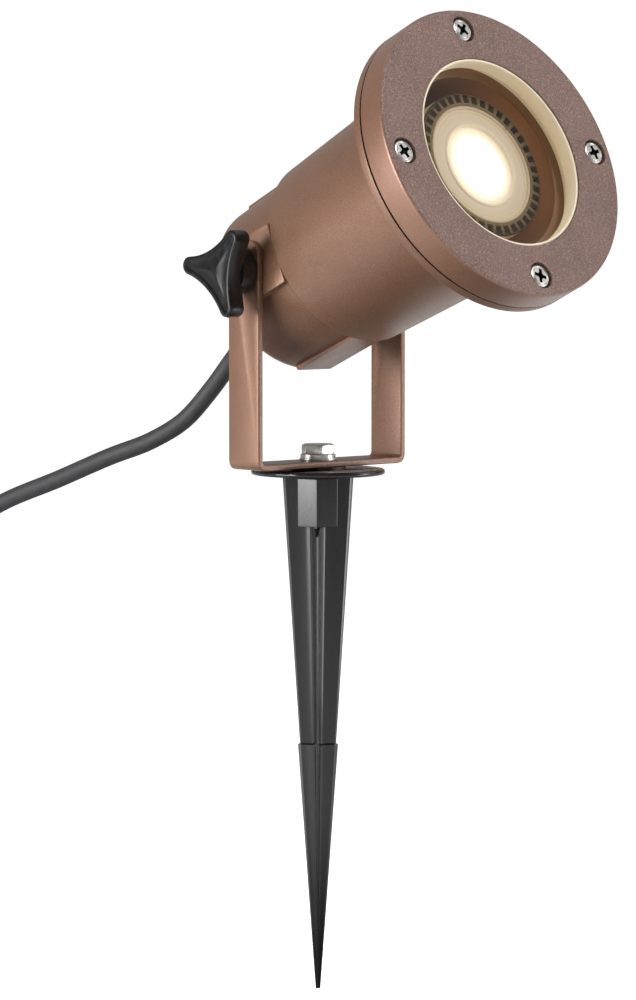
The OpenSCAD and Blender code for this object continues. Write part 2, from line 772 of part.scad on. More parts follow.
// A point of the coil after a number of turns: in on the floor, up, and out again
function coil_point(turn) =
  let (half = coil_turns / 2,
       radius = coil_inner_radius + coil_pitch * abs(turn - half),
       climb = max(0, min(1, (turn - half + 0.25) / 0.5)),
       a = coil_start_angle - 360 * turn)
  [coil_centre[0] + radius * cos(a), coil_centre[1] + radius * sin(a), coil_low + layer_rise * climb];

coil_path = concat(
  [coil_start],
  [for (i = [0 : coil_turns * rings_per_turn]) coil_point(i / rings_per_turn)],
  [coil_end - [0, cord_diameter, 0], coil_end]);

// Least gap between turns of the coil, measured between ring centres half a turn or more apart
coil_gap = min([
  for (i = [0 : len(coil_path) - 1])
    for (j = [i + rings_per_turn / 2 : 1 : len(coil_path) - 1]) norm(coil_path[i] - coil_path[j])
]) - cord_diameter;
echo(coil_gap = coil_gap);

module cord_coil() color(rubber_black) tube(coil_path, cord_radius, coil_sides, [0, 0, 1]);

// Reusable tie round the coil's turns
module coil_tie() color(black) {
  inner = coil_inner_radius - cord_radius - tie_gap;
  outer = coil_outer_radius + cord_radius + tie_gap;
  top = coil_high + cord_radius + tie_gap;
  translate([coil_centre[0], coil_centre[1], 0]) rotate([0, 0, 90]) {
    rotate([90, 0, 0]) linear_extrude(tie_width, center = true) difference() {
      translate([inner - tie_thickness, floor_level])
        square([outer - inner + 2 * tie_thickness, top + tie_thickness - floor_level]);
      translate([inner, floor_level + tie_thickness])
        square([outer - inner, top - floor_level - tie_thickness]);
    }
    translate([inner + 4, -tie_width / 2 - 1, top + tie_thickness]) cube([6, tie_width + 2, 1.6]);
  }
}

// Flat plug: a tapering grip behind a straight front, and a short ribbed relief
module plug_body() color(rubber_black) translate([coil_end[0], coil_end[1], coil_end[2]]) {
  rotate([-90, 0, 0]) difference() {
    turned([[0, 0], [plug_relief_radius, 0], [plug_neck_radius, plug_relief_length], [0, plug_relief_length]]);
    for (i = [0 : 2]) translate([0, 0, 3 + 4 * i]) difference() {
      disc(plug_neck_radius + 1, -0.7, 0.7);
      disc(plug_relief_radius - 0.9, -1, 1);
    }
  }
  translate([0, plug_relief_length, 0]) difference() {
    intersection() {
      linear_extrude(2 * plug_half_height, center = true) plug_outline(plug_half_width, plug_neck_radius);
      rotate([90, 0, 90]) linear_extrude(2 * plug_half_width + 2, center = true)
        mirror([1, -1]) plug_outline(plug_half_height, plug_neck_radius);
    }
    for (side = [-1, 1]) translate([side * plug_pin_gap / 2, plug_length - plug_pin_root, 0]) rotate([-90, 0, 0])
      cylinder(r = plug_pin_neck + slip, h = plug_pin_root + 1);
  }
}

// Outline of the plug across its width or its height
module plug_outline(half, neck) polygon(concat(
  [[-neck, 0], [neck, 0]],
  arc([half - plug_corner, plug_taper], plug_corner, -20, 0, 2),
  [[half, plug_length - 1], [half - 1, plug_length], [1 - half, plug_length], [-half, plug_length - 1]],
  arc([plug_corner - half, plug_taper], plug_corner, 180, 200, 2)));

// Round pins whose thinner necks are moulded into the plug
module plug_pins() color(silver)
  translate([coil_end[0], coil_end[1] + plug_relief_length + plug_length, coil_end[2]])
    for (side = [-1, 1]) translate([side * plug_pin_gap / 2, 0, 0]) rotate([-90, 0, 0])
      turned([[0, -plug_pin_root], [plug_pin_neck, -plug_pin_root], [plug_pin_neck, 0], [plug_pin_radius, 0],
        [plug_pin_radius, plug_pin_length - 1.2], [plug_pin_radius - 1, plug_pin_length], [0, plug_pin_length]]);

housing();
bezel();
bezel_screws();
front_glass();
glass_gasket();
housing_seal();
lamp_body();
lamp_lens();
lamp_pins();
lamp_holder();
holder_strap();
holder_screws();
supply_wires();
gland_body();
gland_seal();
gland_locknut();
strain_relief();
pivot_screw();
pivot_washer();
clamp_washer();
knob();
knob_stud();
bracket();
flat_washer();
spring_washer();
swivel_bolt();
spike_nut();
spike();
cord_lead();
cord_coil();
coil_tie();
plug_body();
plug_pins();
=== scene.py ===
from math import atan2, copysign, cos, log, pi, radians, sin

import bmesh
import bpy
from mathutils import Matrix, Vector


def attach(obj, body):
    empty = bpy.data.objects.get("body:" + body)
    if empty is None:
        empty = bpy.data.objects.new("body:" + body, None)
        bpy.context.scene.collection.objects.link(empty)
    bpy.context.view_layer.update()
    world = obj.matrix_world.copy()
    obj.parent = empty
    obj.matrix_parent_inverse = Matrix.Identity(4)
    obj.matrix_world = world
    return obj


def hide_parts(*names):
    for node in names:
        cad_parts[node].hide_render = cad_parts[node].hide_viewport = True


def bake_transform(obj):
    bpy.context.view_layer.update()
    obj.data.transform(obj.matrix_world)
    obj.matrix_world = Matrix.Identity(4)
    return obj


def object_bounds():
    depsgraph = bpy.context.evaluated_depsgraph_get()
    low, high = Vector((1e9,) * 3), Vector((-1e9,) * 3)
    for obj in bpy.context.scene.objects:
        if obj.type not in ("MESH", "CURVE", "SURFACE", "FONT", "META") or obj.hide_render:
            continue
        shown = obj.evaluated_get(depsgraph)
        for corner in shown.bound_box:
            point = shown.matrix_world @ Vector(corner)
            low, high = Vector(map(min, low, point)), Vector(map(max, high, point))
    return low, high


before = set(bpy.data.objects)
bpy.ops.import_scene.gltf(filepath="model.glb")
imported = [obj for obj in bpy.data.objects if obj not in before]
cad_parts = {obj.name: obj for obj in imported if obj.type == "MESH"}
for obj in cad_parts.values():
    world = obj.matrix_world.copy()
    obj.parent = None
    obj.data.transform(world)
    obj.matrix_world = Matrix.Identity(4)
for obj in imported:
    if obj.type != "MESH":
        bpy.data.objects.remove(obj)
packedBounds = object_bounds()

mm = 0.001
headTilt = radians(24.2)
pivotHeight = 68.8 * mm
floorLevel = packedBounds[0][2]
upright = Matrix.Identity(4)


def turned(angle, axis="Z"):
    return Matrix.Rotation(angle, 4, axis)


def shifted(x, y, z):
    return Matrix.Translation((x, y, z))


# The head's own frame: local +Z along the lamp's axis, +Y up, origin on the tilt axis
headFrame = shifted(0, 0, pivotHeight) @ turned(pi / 2 - headTilt, "X")
# Local +Z outwards along the tilt axis, to the knob's side and to the screw's side
leftFrame = shifted(0, 0, pivotHeight) @ turned(-pi / 2, "Y")
rightFrame = shifted(0, 0, pivotHeight) @ turned(pi / 2, "Y")


def linked(name, data):
    holder = bpy.data.objects.new(name, data)
    bpy.context.scene.collection.objects.link(holder)
    return holder


# Camera

camera = {
    "azimuth": radians(-42.83), "elevation": radians(4.27), "distance": 1.412, "aim": Vector((0, 0, -0.0087)),
    "sensor": 36, "lens": 151.2, "near": 0.05, "far": 40,
}


def makeCamera():
    level = cos(camera["elevation"])
    back = Vector((sin(camera["azimuth"]) * level, -cos(camera["azimuth"]) * level, sin(camera["elevation"])))
    data = bpy.data.cameras.new("camera")
    data.sensor_fit = "VERTICAL"
    data.sensor_height = camera["sensor"]
    data.lens = camera["lens"]
    data.clip_start = camera["near"]
    data.clip_end = camera["far"]
    holder = linked("camera", data)
    holder.location = camera["aim"] + camera["distance"] * back
    holder.rotation_euler = back.to_track_quat("Z", "Y").to_euler()
    bpy.context.scene.camera = holder


makeCamera()
print("camera")


# Mesh helpers

def finishMesh(name, mesh, sharpAngle=32):
    mesh.validate()
    mesh.shade_smooth()
    mesh.set_sharp_from_angle(angle=radians(sharpAngle))
    return linked(name, mesh)


def meshFrom(name, shape):
    mesh = bpy.data.meshes.new(name)
    shape.to_mesh(mesh)
    shape.free()
    return mesh


def fromBmesh(name, shape, place=upright, sharpAngle=32):
    bmesh.ops.recalc_face_normals(shape, faces=shape.faces)
    mesh = meshFrom(name, shape)
    mesh.transform(place)
    return finishMesh(name, mesh, sharpAngle)


def discard(piece):
    mesh = piece.data
    bpy.data.objects.remove(piece)
    bpy.data.meshes.remove(mesh)


# Joins loops of equal length by quads; a ring-shaped loft meets itself
def loft(loops, ringShaped=False):
    shape = bmesh.new()
    rows = [[shape.verts.new(point) for point in loop] for loop in loops]
    for low, high in zip(rows, rows[1:] + rows[:1] if ringShaped else rows[1:]):
        for i in range(len(low)):
            j = (i + 1) % len(low)
            shape.faces.new((low[i], low[j], high[j], high[i]))
    if not ringShaped:
        shape.faces.new(rows[0][::-1])
        shape.faces.new(rows[-1])
    return shape


# Angles in even steps round a full turn
def around(count):
    return [2 * pi * k / count for k in range(count)]


def polar(radius, angle):
    return Vector((radius * cos(angle), radius * sin(angle)))


def spun(point, angle):
    return Vector((point.x * cos(angle) - point.y * sin(angle), point.x * sin(angle) + point.y * cos(angle)))


# Corners of a rectangle, with one rounding for its low pair and one for its high pair
def rectangle(left, low, right, high, lowRound=0, highRound=0):
    return [(left, low, lowRound), (right, low, lowRound), (right, high, highRound), (left, high, highRound)]


# A closed outline from corners; a curve takes up less than half of each side
def rounded(corners, steps=4, share=0.49):
    points = []
    for i, (x, y, radius) in enumerate(corners):
        here = Vector((x, y))
        before = Vector(corners[i - 1][:2]) - here
        after = Vector(corners[(i + 1) % len(corners)][:2]) - here
        if radius <= 0:
            points.append(here)
            continue
        half = before.angle(after) / 2
        reach = min(radius / max(1e-6, abs(sin(half) / cos(half))), before.length * share, after.length * share)
        start = here + before.normalized() * reach
        stop = here + after.normalized() * reach
        for k in range(steps + 1):
            t = k / steps
            points.append(start * (1 - t) ** 2 + here * 2 * t * (1 - t) + stop * t ** 2)
    return points


# A piece turned about local Z, from the corners of its closed outline
def lathePiece(name, corners, steps=128, place=upright, fillet=4):
    outline = [p * mm for p in rounded(corners, fillet)]
    shape = loft([[(p.x * cos(a), p.x * sin(a), p.y) for p in outline] for a in around(steps)], ringShaped=True)
    bmesh.ops.remove_doubles(shape, verts=shape.verts, dist=mm / 1000)
    return fromBmesh(name, shape, place)


# The outline moved inwards by a depth, its corners mitred but never longer than a limit
def inset(outline, depth, sharpest=0.3):
    count = len(outline)
    area = sum(outline[i - 1].x * outline[i].y - outline[i].x * outline[i - 1].y for i in range(count))
    sign = 1 if area > 0 else -1
    inner = []
    for i in range(count):
        a = (outline[i] - outline[i - 1]).normalized()
        b = (outline[(i + 1) % count] - outline[i]).normalized()
        na = Vector((-a.y, a.x)) * sign
        nb = Vector((-b.y, b.x)) * sign
        inner.append(outline[i] + (na + nb) * depth / max(sharpest, 1 + na.dot(nb)))
    return inner


# Stacks copies of an outline, each inset by a depth and lifted to a height
def relief(outline, levels):
    return loft([[(p.x, p.y, height) for p in inset(outline, depth)] for depth, height in levels])


# Straight pieces in metres, of any outline, box-shaped or round
def prism(name, outline, low, high, place=upright, depth=0):
    return fromBmesh(name, relief(outline, [(depth, low), (depth, high)]), place)


def block(name, low, high, place=upright):
    return prism(name, rounded(rectangle(*low[:2], *high[:2])), low[2], high[2], place)


def drum(name, radius, low, high, place=upright, steps=48):
    return prism(name, [polar(radius, a) for a in around(steps)], low, high, place)


# A new piece from the evaluated mesh of one with modifiers
def applied(piece):
    name = piece.name
    graph = bpy.context.evaluated_depsgraph_get()
    mesh = bpy.data.meshes.new_from_object(piece.evaluated_get(graph))
    discard(piece)
    mesh.name = name
    return finishMesh(name, mesh)


def boolean(piece, tools, operation="DIFFERENCE"):
    for tool in tools:
        cutter = piece.modifiers.new("cut", "BOOLEAN")
        cutter.operation = operation
        cutter.solver = "EXACT"
        cutter.object = tool
    result = applied(piece)
    for tool in tools:
        discard(tool)
    return result


# Rounds the edges sharper than an angle
def softened(piece, width, segments, angle):
    edge = piece.modifiers.new("edge", "BEVEL")
    edge.width = width * mm
    edge.segments = segments
    edge.limit_method = "ANGLE"
    edge.angle_limit = radians(angle)
    return applied(piece)


# One piece from several, each keeping its own materials
def joined(name, pieces):
    shape = bmesh.new()
    materials = []
    for piece in pieces:
        start = len(shape.faces)
        shape.from_mesh(piece.data)
        shape.faces.ensure_lookup_table()
        for face in shape.faces[start:]:
            face.material_index += len(materials)
        materials += piece.data.materials[:]
        discard(piece)
    mesh = meshFrom(name, shape)
    for material in materials:
        mesh.materials.append(material)
    return finishMesh(name, mesh)


# Gives a piece several materials, and each face the one that a rule picks from its middle in mm and its normal
def paintFaces(piece, materials, pick):
    piece.data.materials.clear()
    for material in materials:
        piece.data.materials.append(material)
    for face in piece.data.polygons:
        face.material_index = pick(face.center / mm, face.normal)


# Moves a finished mesh into the head's frame, under the piece's own name
def settled(piece, name):
    piece.data.transform(headFrame)
    piece.name = name
    return piece


# Materials

# An empty node group with its sockets, and its input and output nodes
def groupNode(name, inputs, outputs):
    group = bpy.data.node_groups.new(name, "ShaderNodeTree")
    for label, kind, value in inputs:
        socket = group.interface.new_socket(label, in_out="INPUT", socket_type=kind)
        socket.default_value = value
    for label in outputs:
        group.interface.new_socket(label, in_out="OUTPUT", socket_type="NodeSocketFloat")
    return group, group.nodes.new("NodeGroupInput"), group.nodes.new("NodeGroupOutput")


# Links a node's inputs to sockets, or sets them to constants
def feed(tree, node, inputs):
    for key, value in inputs.items():
        if isinstance(value, bpy.types.NodeSocket):
            tree.links.new(value, node.inputs[key])
        else:
            node.inputs[key].default_value = value
    return node


# A shader node with its inputs and settings
def add(tree, kind, inputs=None, **settings):
    node = tree.nodes.new("ShaderNode" + kind)
    for key, value in settings.items():
        setattr(node, key, value)
    return feed(tree, node, inputs or {})


def ramp(tree, factor, stops):
    node = add(tree, "ValToRGB", {0: factor})
    elements = node.color_ramp.elements
    for element, (position, colour) in zip(elements, (stops[0], stops[-1])):
        element.position = position
        element.color = (*colour, 1)
    for position, colour in stops[1:-1]:
        elements.new(position).color = (*colour, 1)
    return node.outputs[0]


# Maps a value from one span to another
def spread(tree, value, source=(0, 1), target=(0, 1), **settings):
    ends = zip(("From Min", "From Max", "To Min", "To Max"), (*source, *target))
    return add(tree, "MapRange", {"Value": value, **dict(ends)}, **settings).outputs[0]


# Fine powder-coat grain: a bump height, a speckle mask and a slow cloud mask
def makeGrainGroup():
    group, given, result = groupNode(
        "powderGrain", [("Grain", "NodeSocketFloat", 2600), ("Cloud", "NodeSocketFloat", 60)],
        ["Height", "Speckle", "Cloud"])
    place = add(group, "TexCoord").outputs["Object"]
    fine = add(group, "TexNoise", {"Vector": place, "Scale": given.outputs["Grain"], "Detail": 2.0})
    coarse = add(group, "TexVoronoi", {"Vector": place, "Scale": given.outputs["Grain"]})
    cloud = add(group, "TexNoise", {"Vector": place, "Scale": given.outputs["Cloud"], "Detail": 3.0})
    height = add(group, "Math", {0: fine.outputs[0], 1: coarse.outputs["Distance"]}, operation="ADD")
    speckle = spread(group, fine.outputs[0], (0.5, 0.72))
    feed(group, result, {"Height": height.outputs[0], "Speckle": speckle, "Cloud": cloud.outputs[0]})
    return group


# Long faint rubs and dust on smooth plastic, rubber and metal
def makeScuffGroup():
    group, given, result = groupNode(
        "faintScuffs", [("Scale", "NodeSocketFloat", 90), ("Stretch", "NodeSocketVector", (1, 1, 0.15))],
        ["Rub", "Height"])
    place = add(group, "TexCoord").outputs["Object"]
    stretched = add(group, "VectorMath", {0: place, 1: given.outputs["Stretch"]}, operation="MULTIPLY")
    streaks = add(group, "TexNoise", {
        "Vector": stretched.outputs[0], "Scale": given.outputs["Scale"], "Detail": 5.0, "Roughness": 0.6})
    rub = spread(group, streaks.outputs[0], (0.42, 0.7))
    slow = add(group, "TexNoise", {"Vector": place, "Scale": 45.0, "Detail": 1.0})
    feed(group, result, {"Rub": rub, "Height": slow.outputs[0]})
    return group


powderGrain = makeGrainGroup()
faintScuffs = makeScuffGroup()


def blankMaterial(name):
    material = bpy.data.materials.new(name)
    material.use_nodes = True
    tree = material.node_tree
    return material, tree, tree.nodes["Principled BSDF"]


powder = {"clouds": (0.3, 0.7), "pits": (0.5, 1.1), "fleckGloss": 0.12, "metallic": 0.35, "coatRoughness": 0.22}


# Powder coat: two tones in slow clouds, tiny metallic flecks and a pebbled surface
def powderPaint(name, dark, light, fleck, grain, bump, roughness, pit=0.9, coat=0.3, depth=0.1 * mm):
    material, tree, surface = blankMaterial(name)
    texture = add(tree, "Group", {"Grain": grain}, node_tree=powderGrain)
    tone = ramp(tree, texture.outputs["Cloud"], list(zip(powder["clouds"], (dark, light))))
    shade = spread(tree, texture.outputs["Height"], powder["pits"], (pit, 1))
    pitted = add(tree, "VectorMath", {0: tone, "Scale": shade}, operation="SCALE")
    flecked = add(tree, "Mix", {
        0: texture.outputs["Speckle"], "A": pitted.outputs[0], "B": (*fleck, 1)}, data_type="RGBA")
    rough = spread(tree, texture.outputs["Speckle"], target=(roughness, roughness - powder["fleckGloss"]))
    pebble = add(tree, "Bump", {"Height": texture.outputs["Height"], "Strength": bump, "Distance": depth})
    feed(tree, surface, {
        "Base Color": flecked.outputs["Result"], "Roughness": rough, "Metallic": powder["metallic"],
        "Coat Weight": coat, "Coat Roughness": powder["coatRoughness"], "Normal": pebble.outputs[0]})
    return material


# Moulded plastic, rubber or ceramic, with a roughness where it is whole and where it is rubbed
def smoothPlastic(name, dark, light, roughness, bump=0.05, stretch=(1, 1, 1), scale=300, metallic=0.0, specular=0.5):
    material, tree, surface = blankMaterial(name)
    texture = add(tree, "Group", {"Scale": scale, "Stretch": stretch}, node_tree=faintScuffs)
    tone = ramp(tree, texture.outputs["Rub"], [(0, dark), (1, light)])
    rough = spread(tree, texture.outputs["Rub"], target=roughness)
    dimple = add(tree, "Bump", {"Height": texture.outputs["Height"], "Strength": bump, "Distance": 0.6 * mm})
    feed(tree, surface, {
        "Base Color": tone, "Roughness": rough, "Metallic": metallic, "Specular IOR Level": specular,
        "Normal": dimple.outputs[0]})
    return material


# Plated or turned metal with fine rubs
def plainMetal(name, dark, light, roughness):
    return smoothPlastic(name, dark, light, roughness, scale=400, metallic=1.0)


copperPaint = powderPaint(
    "copperPaint", dark=(0.218, 0.108, 0.066), light=(0.252, 0.129, 0.079), fleck=(0.35, 0.195, 0.126),
    grain=3600, bump=0.3, roughness=0.42)
# A lighter copy of the copper paint for the bezel's rim: painted light
rimLitPaint = powderPaint(
    "rimLitPaint", dark=(0.245, 0.118, 0.071), light=(0.29, 0.143, 0.088), fleck=(0.34, 0.19, 0.13),
    grain=3000, bump=0.4, roughness=0.4, coat=0.55)
# A darker, warmer copy of the copper paint: painted shade inside the bore, warmed as painted lamp light
boreShadePaint = powderPaint(
    "boreShadePaint", dark=(0.15, 0.068, 0.034), light=(0.175, 0.082, 0.042), fleck=(0.25, 0.13, 0.075),
    grain=3600, bump=0.3, roughness=0.5, coat=0.1)
# A darker, greyer copy of the paint for the bezel's face: painted shade
bezelShadedPaint = powderPaint(
    "bezelShadedPaint", dark=(0.184, 0.108, 0.087), light=(0.23, 0.14, 0.115), fleck=(0.34, 0.23, 0.194),
    grain=1900, bump=1.0, roughness=0.46, pit=0.7, coat=0.1, depth=0.2 * mm)
glossBlack = smoothPlastic(
    "glossBlack", (0.012, 0.011, 0.012), (0.02, 0.019, 0.021), (0.12, 0.24), 0.08, stretch=(1, 1, 0.15), scale=90.0)
# A lighter black as a painted highlight on the blunt fins' edges
edgeHighlightBlack = smoothPlastic(
    "edgeHighlightBlack", (0.06, 0.057, 0.06), (0.11, 0.106, 0.11), (0.12, 0.24), 0.08, stretch=(1, 1, 0.15), scale=90.0)
satinBlack = smoothPlastic(
    "satinBlack", (0.008, 0.008, 0.009), (0.014, 0.014, 0.015), (0.28, 0.38), scale=500, specular=0.34)
blackRubber = smoothPlastic("blackRubber", (0.036, 0.0345, 0.037), (0.052, 0.05, 0.0535), (0.55, 0.7))
# Painted shade: a near-black for the faces inside the seam between the bezel and the housing's flange
seamShade = smoothPlastic("seamShade", (0.012, 0.009, 0.008), (0.02, 0.015, 0.012), (0.7, 0.8))
ceramicWhite = smoothPlastic("ceramicWhite", (0.78, 0.76, 0.70), (0.84, 0.83, 0.79), (0.35, 0.5), scale=200)
# Painted shade: a dark metal for the screws' cross recesses
recessShade = plainMetal("recessShade", (0.03, 0.03, 0.032), (0.06, 0.06, 0.062), (0.5, 0.6))
zincSteel = plainMetal("zincSteel", (0.62, 0.61, 0.58), (0.78, 0.77, 0.74), (0.28, 0.42))
screwSteel = plainMetal("screwSteel", (0.46, 0.44, 0.42), (0.62, 0.6, 0.57), (0.28, 0.42))
brassMetal = plainMetal("brassMetal", (0.62, 0.44, 0.16), (0.72, 0.54, 0.24), (0.3, 0.45))

# The glow is painted lamp light on the gasket
silicone = {
    "dark": (0.78, 0.69, 0.54), "light": (0.85, 0.77, 0.62), "rubs": 120, "roughness": 0.42,
    "glow": (0.16, 0.125, 0.08, 1), "through": 0.25, "spread": (1.0, 0.7, 0.4), "depth": 2 * mm,
}


# Cream silicone with subsurface scattering; its steady warm glow is painted lamp light on the gasket
def makeSilicone():
    material, tree, surface = blankMaterial("creamSilicone")
    texture = add(tree, "Group", {"Scale": silicone["rubs"]}, node_tree=faintScuffs)
    feed(tree, surface, {
        "Base Color": ramp(tree, texture.outputs["Rub"], [(0, silicone["dark"]), (1, silicone["light"])]),
        "Roughness": silicone["roughness"], "Emission Color": silicone["glow"], "Emission Strength": 1.0,
        "Subsurface Weight": silicone["through"], "Subsurface Radius": silicone["spread"],
        "Subsurface Scale": silicone["depth"]})
    return material


glass = {"smudges": 60.0, "roughness": (0.01, 0.06), "tint": (0.97, 0.985, 0.975, 1), "mirror": 1.12}


# Clear glass that shadows nothing, so the lamp lights what lies in front of it
def makeGlass():
    material, tree, surface = blankMaterial("clearGlass")
    tree.nodes.remove(surface)
    smudge = add(tree, "Group", {"Scale": glass["smudges"], "Stretch": (1, 1, 1)}, node_tree=faintScuffs)
    rough = spread(tree, smudge.outputs["Rub"], target=glass["roughness"])
    shine = add(tree, "BsdfGlossy", {"Color": (1, 1, 1, 1), "Roughness": rough})
    clear = add(tree, "BsdfTransparent", {"Color": glass["tint"]})
    facing = add(tree, "Fresnel", {"IOR": glass["mirror"]})
    ray = add(tree, "LightPath")
    seen = add(tree, "Math", {0: facing.outputs[0], 1: ray.outputs["Is Camera Ray"]}, operation="MULTIPLY")
    mix = add(tree, "MixShader", {0: seen.outputs[0], 1: clear.outputs[0], 2: shine.outputs[0]})
    feed(tree, tree.nodes["Material Output"], {"Surface": mix.outputs[0]})
    return material


# How far right of the lamp's middle the unseen glow grows, and its shares at the middle and there
glowSides = (0.85, (0.1, 1.1))


# Lamp plastic, frosted on the lens; glow and body colour follow the share of the span from the lamp's axis.
# On the lens the glow is the lamp's own light; on the ring, the slots and the skirt it is painted lamp light falling
# on them. The strength that lights the hollow round the lamp may differ, and is then stronger on the right.
def makeLampGlow(name, glow, body, span, strength=1.0, unseen=None, specular=0.5):
    material, tree, surface = blankMaterial(name)
    place = add(tree, "TexCoord").outputs["Object"]
    fromPivot = add(tree, "VectorMath", {0: place, 1: (0, 0, -pivotHeight)}, operation="ADD").outputs[0]
    axis = headFrame.to_3x3() @ Vector((0, 0, 1))
    across = add(tree, "VectorMath", {0: fromPivot, 1: tuple(axis)}, operation="CROSS_PRODUCT")
    radius = add(tree, "VectorMath", {0: across.outputs[0]}, operation="LENGTH")
    share = add(tree, "Math", {0: radius.outputs["Value"], 1: span}, operation="DIVIDE").outputs[0]
    feed(tree, surface, {
        "Emission Color": ramp(tree, share, glow), "Base Color": ramp(tree, share, body),
        "Emission Strength": strength, "Roughness": 0.35, "Specular IOR Level": specular})
    if unseen is not None:
        side = add(tree, "SeparateXYZ", {0: fromPivot})
        reach, shares = glowSides
        uneven = spread(tree, side.outputs["X"], (0, reach * span), [share * unseen for share in shares])
        ray = add(tree, "LightPath")
        power = add(tree, "Mix", {0: ray.outputs["Is Camera Ray"], "A": uneven, "B": strength})
        feed(tree, surface, {"Emission Strength": power.outputs["Result"]})
    return material


creamSilicone = makeSilicone()
clearGlass = makeGlass()
lampGlow = makeLampGlow(
    "lampGlow",
    glow=[(0, (1.0, 0.87, 0.68)), (0.33, (0.6, 0.51, 0.39)), (0.46, (0.22, 0.185, 0.14)),
          (0.56, (0.105, 0.086, 0.064)), (0.66, (0.062, 0.047, 0.033)), (0.7, (0.038, 0.026, 0.018)),
          (0.92, (0.047, 0.032, 0.021)), (1, (0.024, 0.016, 0.009))],
    body=[(0, (0.8, 0.75, 0.62)), (0.6, (0.55, 0.47, 0.36)), (0.8, (0.36, 0.3, 0.22)), (1, (0.32, 0.25, 0.17))],
    span=20.5 * mm, strength=6.5)
# The ring's, the slots' and the skirt's glow is painted lamp light falling on them
lampRing = makeLampGlow(
    "lampRing",
    glow=[(0, (0.05, 0.035, 0.018)), (0.9, (0.02, 0.013, 0.006)), (1, (0.004, 0.002, 0.001))],
    body=[(0, (0.25, 0.17, 0.09)), (0.86, (0.15, 0.092, 0.043)), (0.955, (0.085, 0.05, 0.023)),
          (1, (0.03, 0.018, 0.009))],
    span=25 * mm, specular=0.15)
lampSlot = makeLampGlow(
    "lampSlot", glow=[(0, (0.05, 0.03, 0.011)), (1, (0.022, 0.013, 0.005))],
    body=[(0, (0.04, 0.027, 0.012)), (1, (0.03, 0.02, 0.009))], span=25 * mm)
lampSkirt = makeLampGlow(
    "lampSkirt", glow=[(0, (0.05, 0.03, 0.015)), (0.7, (0.06, 0.038, 0.018)), (1, (0.14, 0.088, 0.04))],
    body=[(0, (0.7, 0.68, 0.62)), (1, (0.45, 0.36, 0.24))], span=25 * mm, unseen=7.0)
print("materials")


# Gives a piece its material and its body, and hides the CAD node that it stands for
def dressed(piece, body, material, node):
    if material is not None:
        piece.data.materials.clear()
        piece.data.materials.append(material)
    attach(piece, body)
    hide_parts(node)
    return piece


# Cord: free lead, coil and plug

cord = {
    "diameter": 6.2 * mm, "exitAlong": -33 * mm, "exitDrop": 6 * mm, "sides": 20, "step": 3 * mm,
    "turns": 5, "perTurn": 72, "pitch": 6.8 * mm, "rise": 6.7 * mm, "climb": 0.5, "inner": 26 * mm,
    "centre": (12 * mm, 262 * mm), "tie": 1 * mm, "stub": 27.5 * mm, "stubSteps": 4,
    "route": [
        (4.5, 47.5, 37.5), (3, 58, 26), (0, 69, 15), (-4, 81, 8), (-9, 97, 2), (-14, 120, -7), (-19, 147, -17),
        (-21, 157, -22), (-23, 166, -30), (-24.5, 174, -44), (-26, 182, -68), (-27.5, 190, -92),
        (-29, 199, -117), (-30, 207, -141), (-30.5, 215, -155), (-31, 227, -165), (-31, 240, -169.8),
    ],
}


def slopeAt(route, i):
    if i == 0:
        return (route[1] - route[0]).normalized()
    if i == len(route) - 1:
        return (route[i] - route[i - 1]).normalized()
    before, after = route[i] - route[i - 1], route[i + 1] - route[i]
    return (after.normalized() * before.length + before.normalized() * after.length) / (before.length + after.length)


# The smooth curve of part.scad through the route's points, with a point every step
def smoothRoute(route, step):
    path = []
    for i in range(len(route) - 1):
        span = (route[i + 1] - route[i]).length
        leave, arrive = span * slopeAt(route, i), span * slopeAt(route, i + 1)
        count = max(1, round(span / step))
        for k in range(count):
            t = k / count
            path.append(
                route[i] * (2 * t ** 3 - 3 * t ** 2 + 1) + route[i + 1] * (3 * t ** 2 - 2 * t ** 3)
                + leave * (t ** 3 - 2 * t ** 2 + t) + arrive * (t ** 3 - t ** 2))
    return path + [route[-1]]


# Winds in to the middle of the coil on the floor, climbs, and winds out again on top
def coilPoint(turn):
    half = cord["turns"] / 2
    radius = cord["inner"] + cord["pitch"] * abs(turn - half)
    climb = max(0, min(1, (turn - half + cord["climb"] / 2) / cord["climb"]))
    a = pi - 2 * pi * turn
    (x, y), low = cord["centre"], floorLevel + cord["tie"] + cord["diameter"] / 2
    return Vector((x + radius * cos(a), y + radius * sin(a), low + cord["rise"] * climb))


def cordPath():
    d = cord["diameter"]
    start, second = [headFrame @ Vector((0, -cord["exitDrop"], along))
                     for along in (cord["exitAlong"], cord["exitAlong"] - d / 2)]
    first, last = coilPoint(0), coilPoint(cord["turns"])
    coilStart = first - Vector((0, d, 0))
    route = [start, second] + [Vector(p) * mm for p in cord["route"]] + [coilStart - Vector((0, d, 0)), coilStart]
    coil = [coilPoint(k / cord["perTurn"]) for k in range(cord["perTurn"] * cord["turns"] + 1)]
    steps = cord["stubSteps"]
    stub = [last + Vector((0, cord["stub"] * k / steps, 0)) for k in range(1, steps + 1)]
    return smoothRoute(route, cord["step"]) + coil + stub


# A round tube along a path, its rings turned as little as possible
def tube(path, radius, sides):
    loops = []
    reference = Vector((1, 0, 0))
    for i, point in enumerate(path):
        along = (path[min(i + 1, len(path) - 1)] - path[max(i - 1, 0)]).normalized()
        u = (reference - along * reference.dot(along)).normalized()
        v = along.cross(u)
        reference = u
        loops.append([point + radius * (cos(a) * u + sin(a) * v) for a in around(sides)])
    return loft(loops)


def makeCord():
    path = cordPath()
    length = sum((b - a).length for a, b in zip(path, path[1:]))
    print("cord length", round(length, 4))
    piece = fromBmesh("cordAndCoil", tube(path, cord["diameter"] / 2, cord["sides"]), sharpAngle=60)
    piece.data.materials.append(blackRubber)
    return piece, path, length


